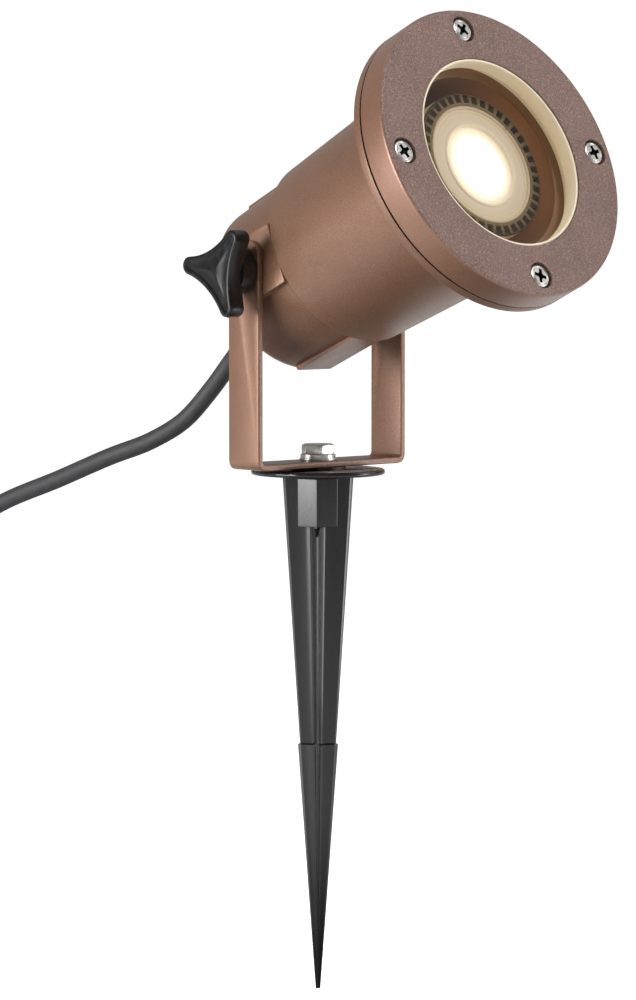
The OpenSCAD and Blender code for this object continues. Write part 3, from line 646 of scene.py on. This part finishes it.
# The front's steps are distance behind the front and depth
plug = {
    "relief": 14, "mouth": ((0, 4.2), (0.6, 5.0)), "ribs": 3, "ribStart": 2.2, "ribPitch": 4, "ribRadius": 5.0,
    "ribGrowth": 0.35, "rib": ((0, 0), (0.3, -0.7), (1.5, -0.7), (1.8, 0.1)),
    "neck": 6.2, "half": 17.5, "length": 30, "taper": 13, "flare": (0.12, 0.3, 0.5, 0.7, 0.85, 1.0),
    "front": ((9, 0), (8.6, 0.5), (8.0, 0.5), (7.6, 0), (1, 0), (0.3, 0.3), (0, 1)),
    "square": 1.6, "squareReach": 12, "points": 48,
    "pin": [(0, -2, 0), (2.4, -2, 0), (2.4, 17.4, 0), (2.1, 18.5, 0), (1.4, 19, 0), (0, 19, 0)], "gap": 19 * mm,
}


# Distance along the plug, half width and half height
def plugLevels(tall):
    levels = [(y, radius, radius) for y, radius in plug["mouth"]]
    for k in range(plug["ribs"]):
        start = plug["ribStart"] + plug["ribPitch"] * k
        radius = plug["ribRadius"] + plug["ribGrowth"] * k
        levels += [(start + y, radius + out, radius + out) for y, out in plug["rib"]]
    neck, wide = plug["neck"], plug["half"]
    levels.append((plug["relief"], neck, neck))
    for t in plug["flare"]:
        widen = 1 - (1 - t) ** 2
        y = plug["relief"] + plug["taper"] * t
        levels.append((y, neck + (wide - neck) * widen, neck + (tall - neck) * widen))
    front = plug["relief"] + plug["length"]
    return levels + [(front - y, wide - depth, tall - depth) for y, depth in plug["front"]]


# Plug lying flat: ribbed relief, tapering grip with finger hollows, flat front and two pins
def makePlug(end):
    loops = []
    for y, wide, tall in plugLevels((end.z - floorLevel) / mm):
        corner = plug["square"] * min(1, max(0, y - plug["relief"]) / plug["squareReach"])
        power = 2 / (2 + corner)
        loop = []
        for a in around(plug["points"]):
            x = copysign(abs(cos(a)) ** power * wide, cos(a))
            z = copysign(abs(sin(a)) ** power * tall, sin(a))
            loop.append(end + Vector((x, y, z)) * mm)
        loops.append(loop)
    grip = fromBmesh("plugGrip", loft(loops), sharpAngle=50)
    front = (plug["relief"] + plug["length"]) * mm
    middles = [end + Vector((side * plug["gap"] / 2, front, 0)) for side in (-1, 1)]
    pins = [lathePiece("plugPin", plug["pin"], 32, shifted(*p) @ turned(-pi / 2, "X")) for p in middles]
    dressed(grip, "bracket", satinBlack, "plug_body")
    return grip, dressed(joined("plugPins", pins), "bracket", zincSteel, "plug_pins")


tie = {
    "clear": 0.3 * mm, "thick": 1, "outRound": (1.5, 2), "inRound": (1, 1.4), "half": 4, "edge": (0.3, 0.25),
    "lock": (4, -5, 10, 5), "lockRound": 0.8, "lockLevels": ((0, 1), (0, 2.2), (0.4, 2.6)),
}


# Releasable tie: a thin band round the coil with a small lock
def makeTie():
    thick, half, (bevel, grow) = tie["thick"], tie["half"], tie["edge"]
    inner = (cord["inner"] - cord["diameter"] / 2 - tie["clear"]) / mm
    outer = (cord["inner"] + cord["pitch"] * cord["turns"] / 2 + cord["diameter"] / 2 + tie["clear"]) / mm
    top = (cord["diameter"] + cord["rise"] + tie["clear"]) / mm + thick
    outside = rounded(rectangle(inner - thick, 0, outer + thick, top + thick, *tie["outRound"]), 5)
    inside = rounded(rectangle(inner, thick, outer, top, *tie["inRound"]), 5)
    levels = ((-half, grow), (bevel - half, 0), (half - bevel, 0), (half, grow))
    rings = [(y, inset(outside, depth)) for y, depth in levels]
    loops = [[Vector((p.x, y, p.y)) * mm for p in ring] for y, ring in rings + [(half, inside), (-half, inside)]]
    place = shifted(*cord["centre"], floorLevel) @ turned(pi / 2)
    band = fromBmesh("tieBand", loft(loops, ringShaped=True), place)
    left, low, right, high = tie["lock"]
    lockOutline = rounded(rectangle(inner + left, low, inner + right, high, tie["lockRound"], tie["lockRound"]), 3)
    levels = [(depth * mm, (top + z) * mm) for depth, z in tie["lockLevels"]]
    lock = fromBmesh("tieLock", relief([p * mm for p in lockOutline], levels), place)
    return dressed(joined("coilTie", [band, lock]), "bracket", satinBlack, "coil_tie")


cordPiece, cordLine, cordLength = makeCord()
plugGrip, plugPins = makePlug(cordLine[-1])
coilTie = makeTie()
tuple(cordLine[0])
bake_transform(cordPiece)
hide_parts("cord_lead", "cord_coil")
tuple(cordLine[0])
[tuple(p) for p in cordLine]
print("cord")


# Head: housing, bezel, glass and lamp, each made in the head's own frame

housing = {
    "walls": [
        (6.2, -18.4, 0), (29.3, -18.4, 3), (30.4, 13.4, 0.3), (32.6, 15.6, 0.4), (36, 80.6, 0.8),
        (37, 81.2, 0.4), (50, 81.2, 0.4), (50, 84.2, 0.25), (37.7, 84.2, 0), (37.7, 85.4, 0.2), (30.5, 85.4, 0.3),
        (30.5, 20, 0), (25, 20, 0), (25, -14.4, 0), (6.2, -14.4, 0),
    ],
    "lowPad": ((26, -16), (29.4, -16), (30, -15.4), (30.6, 14.8), (26, 14.8)), "lowPadHalf": 7.3,
    "armPads": (((25.5, -10.3, -16), (31.5, 10.3, 14.8)), ((-31.5, -10.3, -16), (-25.5, 10.3, 14.8))),
    "edge": 0.35, "seam": 84.2, "bore": 30.8, "boreFloor": 20,
}


def makeHousing():
    body = lathePiece("housingShell", housing["walls"], 160)
    half = housing["lowPadHalf"] * mm
    pads = []
    for side, (low, high) in enumerate(housing["armPads"]):
        outline = [Vector(p) * mm for p in housing["lowPad"]]
        turn = turned(pi * side) @ turned(pi / 2) @ turned(pi / 2, "X")
        pads.append(prism("neckPad", outline, -half, half, turn))
        pads.append(block("armPad", Vector(low) * mm, Vector(high) * mm))
    body = softened(boolean(body, pads, "UNION"), housing["edge"], 2, 28)

    def pick(middle, normal):
        # The seam's face takes the painted seam shade
        if normal.z > 0.9 and abs(middle.z - housing["seam"]) < 0.05:
            return 1
        # The bore's inner wall takes the darker, warmer paint as painted shade and painted lamp light
        inward = normal.x * middle.x + normal.y * middle.y < 0
        inBore = middle.xy.length < housing["bore"] and middle.z > housing["boreFloor"]
        return 2 if inward and inBore else 0

    paintFaces(body, [copperPaint, seamShade, boreShadePaint], pick)
    return dressed(settled(body, "housingBody"), "head", None, "housing")


bezel = {
    "ring": [
        (32.75, 89.8, 0), (38, 89.8, 0), (38, 84.7, 0.3), (50, 84.7, 0.4), (50, 94.8, 1.3), (32.75, 94.8, 0.45),
    ],
    "screwCircle": 43 * mm, "screwSeat": 91.9 * mm, "hole": 4.5 * mm, "holeTop": 96 * mm, "edge": 0.25, "rim": 49,
}


# Frames of the four screws, on their seats
def screwPlaces(height=0):
    return [turned(a) @ shifted(bezel["screwCircle"], 0, height) for a in around(4)]


# The face in a darker, shaded copy of the paint, the rim in a lighter, lit copy, and the back in painted seam shade
def makeBezel():
    body = lathePiece("bezelRing", bezel["ring"], 192, fillet=6)
    hole = bezel["hole"], bezel["screwSeat"], bezel["holeTop"]
    holes = [drum("counterbore", *hole, place) for place in screwPlaces()]
    body = softened(boolean(body, holes), bezel["edge"], 2, 40)

    def pick(middle, normal):
        if normal.z < -0.9:
            return 2
        return 1 if middle.xy.length > bezel["rim"] and normal.z < 0.8 else 0

    paintFaces(body, [bezelShadedPaint, rimLitPaint, seamShade], pick)
    return dressed(settled(body, "bezelBody"), "head", None, "bezel")


screws = {
    "turns": (12, 48, 25, 71), "slot": (2.4 * mm, 0.6 * mm), "slotFloor": 1.1 * mm, "slotTop": 3 * mm,
    "centre": 1.2 * mm, "centreFloor": 0.7 * mm, "edge": 0.07, "recess": 2.45, "recessHeights": (0.5, 2.3),
    "corners": [
        (0, -10, 0), (1.6, -10, 0), (2, -9.6, 0), (2, 0, 0), (3.9, 0, 0.2), (3.9, 2.2, 0.6), (3.2, 2.5, 0.15),
        (2.95, 2.25, 0.1), (2.7, 2.5, 0.15), (0, 2.6, 0),
    ],
}


# Pan heads with a deep cross recess, each turned its own way
def makeBezelScrews():
    long, wide = screws["slot"]
    floor, top = screws["slotFloor"], screws["slotTop"]

    # The recess faces take the painted shade
    def pick(middle, normal):
        low, high = screws["recessHeights"]
        return 1 if middle.xy.length < screws["recess"] and low < middle.z < high else 0

    made = []
    for place, turn in zip(screwPlaces(bezel["screwSeat"]), screws["turns"]):
        screw = lathePiece("bezelScrew", screws["corners"], 48)
        slots = [block("slot", (-long, -wide, floor), (long, wide, top), turned(a)) for a in (0, pi / 2)]
        slots.append(drum("slotCentre", screws["centre"], screws["centreFloor"], top, steps=16))
        screw = softened(boolean(screw, slots), screws["edge"], 1, 40)
        paintFaces(screw, [screwSteel, recessShade], pick)
        screw.data.transform(headFrame @ place @ turned(radians(turn)))
        made.append(screw)
    return dressed(joined("bezelScrewSet", made), "head", None, "bezel_screws")


gasket = [
    (31.9, 94.3, 0.35), (32.7, 94.3, 0.35), (32.7, 89.8, 0), (37.8, 89.8, 0), (37.8, 85.4, 0), (34.4, 85.4, 0.2),
    (34.4, 86.7, 0.2), (37, 86.7, 0), (37, 89, 0), (31.9, 89, 0.3),
]
pane = [(0, 86.8, 0), (36.9, 86.8, 0.3), (36.9, 89, 0.3), (0, 89, 0)]


def makeGlazing():
    ring = lathePiece("gasketRing", gasket, 160, headFrame)
    dressed(ring, "head", creamSilicone, "glass_gasket")
    dressed(lathePiece("glassPane", pane, place=headFrame), "head", clearGlass, "front_glass")


lamp = {
    "corners": [
        (0, 37.4, 0), (14, 37.4, 1), (14, 46.5, 0.5), (16, 54.9, 0.5), (23.6, 78.9, 0.6), (25, 79.9, 0.6),
        (25, 84.9, 0.7), (20.55, 84.9, 0.3), (20.55, 81.9, 0), (0, 81.9, 0),
    ],
    "slots": 40, "slotLow": (21.6 * mm, -1.15 * mm, 82.5 * mm), "slotHigh": (24.3 * mm, 1.15 * mm, 87 * mm),
    "ringFrom": 84.2, "slotsFrom": 82.4, "slotReach": (21, 24.6),
}


# Reflector lamp: slotted front ring, tapering body and a narrow base
def makeLampBody():
    body = lathePiece("lampShell", lamp["corners"], 160)
    turns = [2 * pi * (k + 0.5) / lamp["slots"] for k in range(lamp["slots"])]
    slots = [block("lampSlot", lamp["slotLow"], lamp["slotHigh"], turned(a)) for a in turns]
    body = boolean(body, [joined("slots", slots)])

    def pick(middle, normal):
        if middle.z > lamp["ringFrom"]:
            return 1
        low, high = lamp["slotReach"]
        return 2 if low < middle.xy.length < high and middle.z > lamp["slotsFrom"] else 0

    paintFaces(body, [lampSkirt, lampRing, lampSlot], pick)
    return dressed(settled(body, "lampBody"), "head", None, "lamp_body")


lens = {
    "corners": [
        (0, 81.9, 0), (20.5, 81.9, 0), (20.5, 84.9, 0.35), (19.8, 84.9, 0.3), (19.4, 84.2, 0.2), (18.7, 84.2, 0.1),
        (18.5, 83.9, 0.1), (18.2, 84.1, 0.1), (14.9, 84, 0.2), (14.5, 84.4, 0.2), (13.9, 84.4, 0.2),
        (13.5, 83.5, 0.3), (12.6, 83.4, 0.1), (12.3, 83.7, 0.1), (11.9, 83.4, 0.1), (11.2, 83.2, 0.3),
        (10.6, 83.8, 0.4), (0, 84.3, 0),
    ],
    "notchLow": (18.9 * mm, -0.4 * mm, 84 * mm), "notchHigh": (21 * mm, 0.4 * mm, 86 * mm),
    "notchTurns": (38, 212),
}


# Frosted lens: raised rim with two notches, flat ring, stepped bright centre
def makeLampLens():
    disc = lathePiece("lensDisc", lens["corners"])
    notches = [block("notch", lens["notchLow"], lens["notchHigh"], turned(radians(a))) for a in lens["notchTurns"]]
    disc = settled(boolean(disc, notches), "lampLens")
    return dressed(disc, "head", lampGlow, "lamp_lens")


makeHousing()
makeBezel()
makeBezelScrews()
makeGlazing()
makeLampBody()
makeLampLens()
print("head")


# Bracket, knob and bolts

bracket = {
    "half": 33.6, "low": 2.7, "top": 78.8, "spare": 2, "thick": 2.1, "outBend": 3.6, "inBend": 1.5, "width": 7.4,
    "armRound": 6, "hole": 3.1 * mm, "past": 40 * mm, "edge": 0.4,
}


# A bent strap, its arms' ends rounded by a block that is a hair wider, and a hole through both
def makeBracket():
    half, low, top, wide = bracket["half"], bracket["low"], bracket["top"], bracket["width"]
    inner, floor, ends = half - bracket["thick"], low + bracket["thick"], top + bracket["spare"]
    out, bend = bracket["outBend"], bracket["inBend"]
    outside = rounded([(-half, ends, 0), (-half, low, out), (half, low, out), (half, ends, 0)], 8)
    inside = rounded([(inner, ends, 0), (inner, floor, bend), (-inner, floor, bend), (-inner, ends, 0)], 6)
    strap = [p * mm for p in outside + inside]
    body = prism("strap", strap, -wide * mm, wide * mm, turned(pi / 2, "X"))
    arm = [p * mm for p in rounded(rectangle(-wide, 0, wide, top, 0, bracket["armRound"]), 10)]
    past = bracket["past"]
    trim = prism("trim", arm, -past, past, turned(pi / 2) @ turned(pi / 2, "X"), depth=-0.001 * mm)
    body = boolean(body, [trim], "INTERSECT")
    body = boolean(body, [drum("pivotHole", bracket["hole"], -past, past, rightFrame)])
    body = softened(body, bracket["edge"], 3, 40)
    body.name = "bracketStrap"
    return dressed(body, "bracket", copperPaint, "bracket")


# The plate's levels are inset and height from its back or its front; the dish's are share of the outline and height
knob = {
    "lobe": 3.0, "centre": 13.1, "waist": 7.4, "lobeSteps": 16, "turn": 83, "plate": 40.0, "thick": 6.5,
    "backLevels": ((1.0, 0), (0.3, 0.25), (0.0, 0.9)),
    "frontLevels": ((0.0, -1.1), (0.12, -0.5), (0.5, -0.12), (1.0, 0), (1.35, -0.05), (1.7, -0.4), (2.1, -0.7)),
    "dish": ((0.8, -0.72), (0.55, -0.6), (0.3, -0.35), (0.1, -0.25)),
    "hub": [(3.05, 35.2, 0), (7.9, 35.2, 0.5), (8.25, 40.6, 0), (3.05, 40.6, 0)],
}


# Three round lobes joined by hollow arcs that touch them, as one dense outline in millimetres
def knobOutline():
    c, lobe, steps = knob["centre"], knob["lobe"], knob["lobeSteps"]
    gap = knob["waist"] - lobe
    hollow = (c * c - gap * gap) / (c - 2 * gap)
    swing = atan2(hollow * sin(pi / 3), hollow * cos(pi / 3) - c)

    def lobePoint(a, t):
        return Vector((c * cos(a) + lobe * cos(t), c * sin(a) + lobe * sin(t)))

    points = []
    for a in around(3):
        points += [lobePoint(a, a - swing + 2 * swing * i / steps) for i in range(steps + 1)]
        middle = polar(hollow, a + pi / 3)
        start = points[-1] - middle
        nextLobe = a + 2 * pi / 3
        sweep = start.angle_signed(lobePoint(nextLobe, nextLobe - swing) - middle)
        points += [middle + spun(start, -sweep * i / steps) for i in range(1, steps)]
    return points


def makeKnob():
    outline = [spun(p, radians(knob["turn"])) for p in knobOutline()]
    back, front = knob["plate"], knob["plate"] + knob["thick"]
    levels = [(depth, back + z) for depth, z in knob["backLevels"]]
    levels += [(depth, front + z) for depth, z in knob["frontLevels"]]
    loops = [[(p.x * mm, p.y * mm, z * mm) for p in inset(outline, depth)] for depth, z in levels]
    last = inset(outline, levels[-1][0])
    for share, rise in knob["dish"]:
        loops.append([(p.x * share * mm, p.y * share * mm, (front + rise) * mm) for p in last])
    plate = fromBmesh("knobPlate", loft(loops), leftFrame, 50)
    hub = lathePiece("knobHub", knob["hub"], 64, leftFrame)
    return dressed(joined("knobBody", [plate, hub]), "knob", satinBlack, "knob")


# The head's and the shank's two heights
bolts = {
    "flats": 10, "underRim": 0.25, "past": 0.7, "chamfer": (0.46, 1.2), "edge": 0.12, "radius": 3, "point": 0.4,
    "swivel": ((6.8, 10.3), (-9.2, 6.9)), "pivot": ((35.2, 39.2), (23, 35.3)),
}


# A hexagon bolt with a turned chamfer on its head, and its shank
def makeBolt(kind, place, name, body, node):
    ((low, high), (end, root)), flats, under = bolts[kind], bolts["flats"], bolts["underRim"]
    hexagon = [polar(flats / 2 / cos(pi / 6), a) * mm for a in around(6)]
    top = fromBmesh("boltHead", relief(hexagon, [(under * mm, low * mm), (0, (low + under) * mm), (0, high * mm)]))
    wide, (share, drop) = flats * bolts["past"], bolts["chamfer"]
    cone = [(0, low - 1, 0), (wide, low - 1, 0), (wide, high - drop, 0), (flats * share, high, 0.2), (0, high, 0)]
    top = boolean(top, [lathePiece("chamfer", cone, 64)], "INTERSECT")
    top = softened(top, bolts["edge"], 2, 35)
    top.data.transform(place)
    wide, point = bolts["radius"], bolts["point"]
    rod = [(0, end, 0), (wide - point, end, 0), (wide, end + point, 0), (wide, root, 0), (0, root, 0)]
    shank = lathePiece("boltShank", rod, 32, place)
    return dressed(joined(name, [top, shank]), body, zincSteel, node)


# Bore, radius, low and high face
washers = {"flat": (3.2, 6.2, 4.8, 5.6), "pivot": (3.05, 7, 33.6, 35.2), "clamp": (3.05, 7, 33.6, 35.17)}


def makeWasher(kind, place, body, material=zincSteel):
    inner, outer, low, high = washers[kind]
    corners = [(inner, low, 0.1), (outer, low, 0.25), (outer, high, 0.25), (inner, high, 0.1)]
    return dressed(lathePiece(kind + "Washer", corners, 64, place), body, material, kind + "_washer")


makeBracket()
makeKnob()
makeBolt("swivel", upright, "swivelBolt", "ground", "swivel_bolt")
makeBolt("pivot", rightFrame, "pivotScrew", "head", "pivot_screw")
makeWasher("flat", upright, "ground")
makeWasher("pivot", rightFrame, "head")
makeWasher("clamp", leftFrame, "clamp", satinBlack)
print("bracket")


# Spike

# Reach and half thickness of the blunt and the keen fins, and the valley between two fins.
# The bevel's pairs are height and how far out a fin reaches there; the edge's are shares of nose and thickness.
spike = {
    "turn": radians(45), "barb": -91.6, "tip": floorLevel / mm, "nose": 0.85, "highlightShare": 0.88, "flankSteps": 10,
    "blunt": {"top": (12.0, 1.22), "above": (6.1, 0.62), "below": (6.8, 1.36), "tip": (0.8, 0.16)},
    "keen": {"top": (12.0, 0.49), "above": (6.1, 0.25), "below": (6.12, 0.38), "tip": (0.72, 0.045)},
    "valley": {"top": 2.85, "above": 1.45, "below": 2.465, "tip": 0.29},
    "edge": ((0.04, 0.97), (0.12, 0.9), (0.86, 0.26), (0.95, 0.16), (0.99, 0.08)),
    "upper": (0.3, -12, -20.8, -35, -50, -65, -80, -90.9), "lower": (-91.4, -93, -110, -130, -150, -165),
    "bevel": ((-12, 5.5), (-17.75, 6.5), (-18.5, 7.8), (-19.3, 9.1), (-20.2, 10.6)),
    "flange": [
        (3.2, -1, 0), (7, -1, 0), (7, 0, 0), (22.5, 0, 0.9), (22.5, 1.9, 0.9), (9.5, 1.9, 0.2), (9.2, 2.7, 0.2),
        (3.2, 2.7, 0),
    ],
    "bossFlats": 14.2, "bossRound": 0.9,
    "boss": ((0.8, -17.5), (0.44, -17.3), (0.4, -16.5), (0.22, -1.4), (-0.5, -0.4), (-1.1, 0.05)),
}
noLimit = 99


# Cross-section of one fin at a height: hollow flanks from the axis to a chamfered edge, cut off at a limit
def bladeLoop(z, reach, edge, valley, limit):
    power = log(valley / edge) / log(reach / valley)
    nose = edge * spike["nose"]
    end = max(min(reach, limit) - nose, valley * 1.02)
    side = []
    for k in range(spike["flankSteps"] + 1):
        x = valley * (end / valley) ** (k / spike["flankSteps"])
        side.append((x, edge * (reach / x) ** power))
    tipX, tipY = side[-1]
    upper = [(0, side[0][1])] + side + [(tipX + nose * x, tipY * y) for x, y in spike["edge"]]
    lower = [(x, -y) for x, y in reversed(upper)]
    return [Vector((x, y, z)) * mm for x, y in upper + [(tipX + nose, 0)] + lower]


# Reach, half thickness and valley at a height
def finSize(kind, z):
    barb = spike["barb"]
    if z > barb + 0.5:
        first, second, t = "top", "above", max(0, z / barb)
    else:
        first, second, t = "below", "tip", max(0, (z - barb) / (spike["tip"] - barb))
    ends = [(*spike[kind][key], spike["valley"][key]) for key in (first, second)]
    return [a + (b - a) * t for a, b in zip(*ends)]


# The blunt fins' edges carry a painted highlight, a lighter black
def makeBlade(kind, upperLevels, turn):
    levels = upperLevels + [(z, noLimit) for z in (*spike["lower"], spike["tip"] + 0.02)]
    blade = fromBmesh("blade", loft([bladeLoop(z, *finSize(kind, z), limit) for z, limit in levels]), turn, 40)
    outward = turn.to_3x3() @ Vector((1, 0, 0))

    def pick(middle, normal):
        reach, edge, valley = finSize(kind, middle.z)
        onEdge = middle.dot(outward) > reach - spike["highlightShare"] * spike["nose"] * edge
        return 1 if kind == "blunt" and onEdge else 0

    paintFaces(blade, [glossBlack, edgeHighlightBlack], pick)
    return blade


def makeSpike():
    straight = [(z, noLimit) for z in spike["upper"]]
    fins = [("keen", [*spike["bevel"], *straight[2:]]), ("blunt", straight)]
    parts = [makeBlade(*fins[k % 2], turned(spike["turn"] + pi / 2 * k)) for k in range(4)]
    parts.append(lathePiece("flangeDisc", spike["flange"]))
    corner = spike["bossFlats"] / 2 / cos(pi / 6)
    outline = rounded([(*polar(corner, a), spike["bossRound"]) for a in around(6)])
    boss = [[Vector((p.x, p.y, z)) * mm for p in inset(outline, depth)] for depth, z in spike["boss"]]
    parts.append(fromBmesh("boss", loft(boss), turned(spike["turn"]), 40))
    for part in parts[-2:]:
        part.data.materials.append(glossBlack)
    return dressed(joined("spikeBody", parts), "ground", None, "spike")


makeSpike()
print("spike")


# Nodes kept from the CAD model, with their own materials

keptNodes = {
    blackRubber: ("housing_seal", "supply_wires", "gland_seal", "strain_relief"),
    zincSteel: ("lamp_pins", "holder_strap", "holder_screws", "knob_stud", "spring_washer", "spike_nut"),
    ceramicWhite: ("lamp_holder",), satinBlack: ("gland_body",), brassMetal: ("gland_locknut",),
}
for material, names in keptNodes.items():
    for name in names:
        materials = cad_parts[name].data.materials
        for index in range(len(materials)):
            materials[index] = material
        if not materials:
            materials.append(material)


# Floor, backdrop and light

# The profile's pairs are distance behind the part and height; a light has a place, an aim, a size and a power
studio = {
    "floor": 0.92, "bounce": 0.36, "shadeReach": (0.08, 0.26), "cameraLift": 0.85, "glossLift": 0.1,
    "profile": [(-6, 0), (2.5, 0), (3.2, 0.12), (3.7, 0.5), (3.9, 1.2), (3.9, 5)], "half": 7,
    "room": 0.14, "backdrop": 1.05, "darkSide": radians(192), "dusk": (-0.75, 0.05),
    "lights": {
        "keyLight": ((-1.5, 0.3, 0.2), (0, 0, 0.05), (1.0, 0.78), 27),
        "topLight": ((-0.1, 0.3, 1.7), (0, 0, 0), (1.2, 1.2), 3),
        "fillLight": ((0.42, -0.48, -0.1), (0, -0.08, 0.08), (0.24, 0.24), 0.8),
        "faceLight": ((0.16, -0.95, 1.15), (0, -0.08, 0.1), (0.5, 0.5), 10.5),
        "sideLight": ((1.1, -1.02, 0.27), (0, 0, 0), (0.35, 0.9), 2),
    },
}


# Bright to the camera, darker as a reflector, and shaded near the part where a glossy surface mirrors it
def makeFloorMaterial():
    material, tree, surface = blankMaterial("paleFloor")
    ray = add(tree, "LightPath").outputs
    place = add(tree, "TexCoord").outputs["Object"]
    away = add(tree, "VectorMath", {0: place, 1: (0, 0, floorLevel)}, operation="DISTANCE")
    shade = spread(tree, away.outputs["Value"], studio["shadeReach"], (0, studio["floor"]))
    mirrored = add(tree, "Mix", {0: ray["Is Glossy Ray"], "A": studio["bounce"], "B": shade})
    tone = add(tree, "Mix", {0: ray["Is Camera Ray"], "A": mirrored.outputs["Result"], "B": studio["floor"]})
    shown = add(tree, "Math", {0: ray["Is Camera Ray"], 1: studio["cameraLift"]}, operation="MULTIPLY")
    lift = add(tree, "Math", {
        0: ray["Is Glossy Ray"], 1: studio["glossLift"], 2: shown.outputs[0]}, operation="MULTIPLY_ADD")
    feed(tree, surface, {
        "Base Color": tone.outputs["Result"], "Roughness": 0.8, "Specular IOR Level": 0.1,
        "Emission Color": (1, 1, 1, 1), "Emission Strength": lift.outputs[0]})
    return material


# A pale floor that sweeps up into a backdrop far behind the light
def makeStage():
    towardCamera = Vector((sin(camera["azimuth"]), -cos(camera["azimuth"]), 0))
    across = Vector((-towardCamera.y, towardCamera.x, 0))
    shape = bmesh.new()
    rows = []
    for distance, height in studio["profile"]:
        middle = Vector((0, 0, floorLevel + height)) - towardCamera * distance
        rows.append([shape.verts.new(middle + across * x) for x in (-studio["half"], studio["half"])])
    for low, high in zip(rows, rows[1:]):
        shape.faces.new((low[0], low[1], high[1], high[0]))
    floor = finishMesh("studioFloor", meshFrom("studioFloor", shape), 180)
    floor.data.materials.append(makeFloorMaterial())


def softbox(name, position, target, size, power):
    light = bpy.data.lights.new(name, "AREA")
    light.shape = "RECTANGLE"
    light.size, light.size_y = size
    light.energy = power
    holder = linked(name, light)
    holder.location = position
    holder.rotation_euler = (Vector(position) - Vector(target)).to_track_quat("Z", "Y").to_euler()


# White surroundings behind the part and a darker room on the camera's side
def makeLight():
    world = bpy.data.worlds.new("studio")
    scene = bpy.context.scene
    scene.world = world
    world.use_nodes = True
    tree = world.node_tree
    direction = add(tree, "TexCoord").outputs["Generated"]
    towardRoom = (cos(studio["darkSide"]), sin(studio["darkSide"]), 0)
    facing = add(tree, "VectorMath", {0: direction, 1: towardRoom}, operation="DOT_PRODUCT")
    level = spread(
        tree, facing.outputs["Value"], studio["dusk"], (studio["backdrop"], studio["room"]),
        interpolation_type="SMOOTHSTEP")
    ray = add(tree, "LightPath")
    seen = add(tree, "Mix", {0: ray.outputs["Is Camera Ray"], "A": level, "B": 1.0})
    feed(tree, tree.nodes["Background"], {"Strength": seen.outputs["Result"], "Color": (1, 1, 1, 1)})
    for name, settings in studio["lights"].items():
        softbox(name, *settings)
    scene.view_settings.view_transform = "Standard"
    scene.view_settings.look = "None"


makeStage()
makeLight()
print("light")
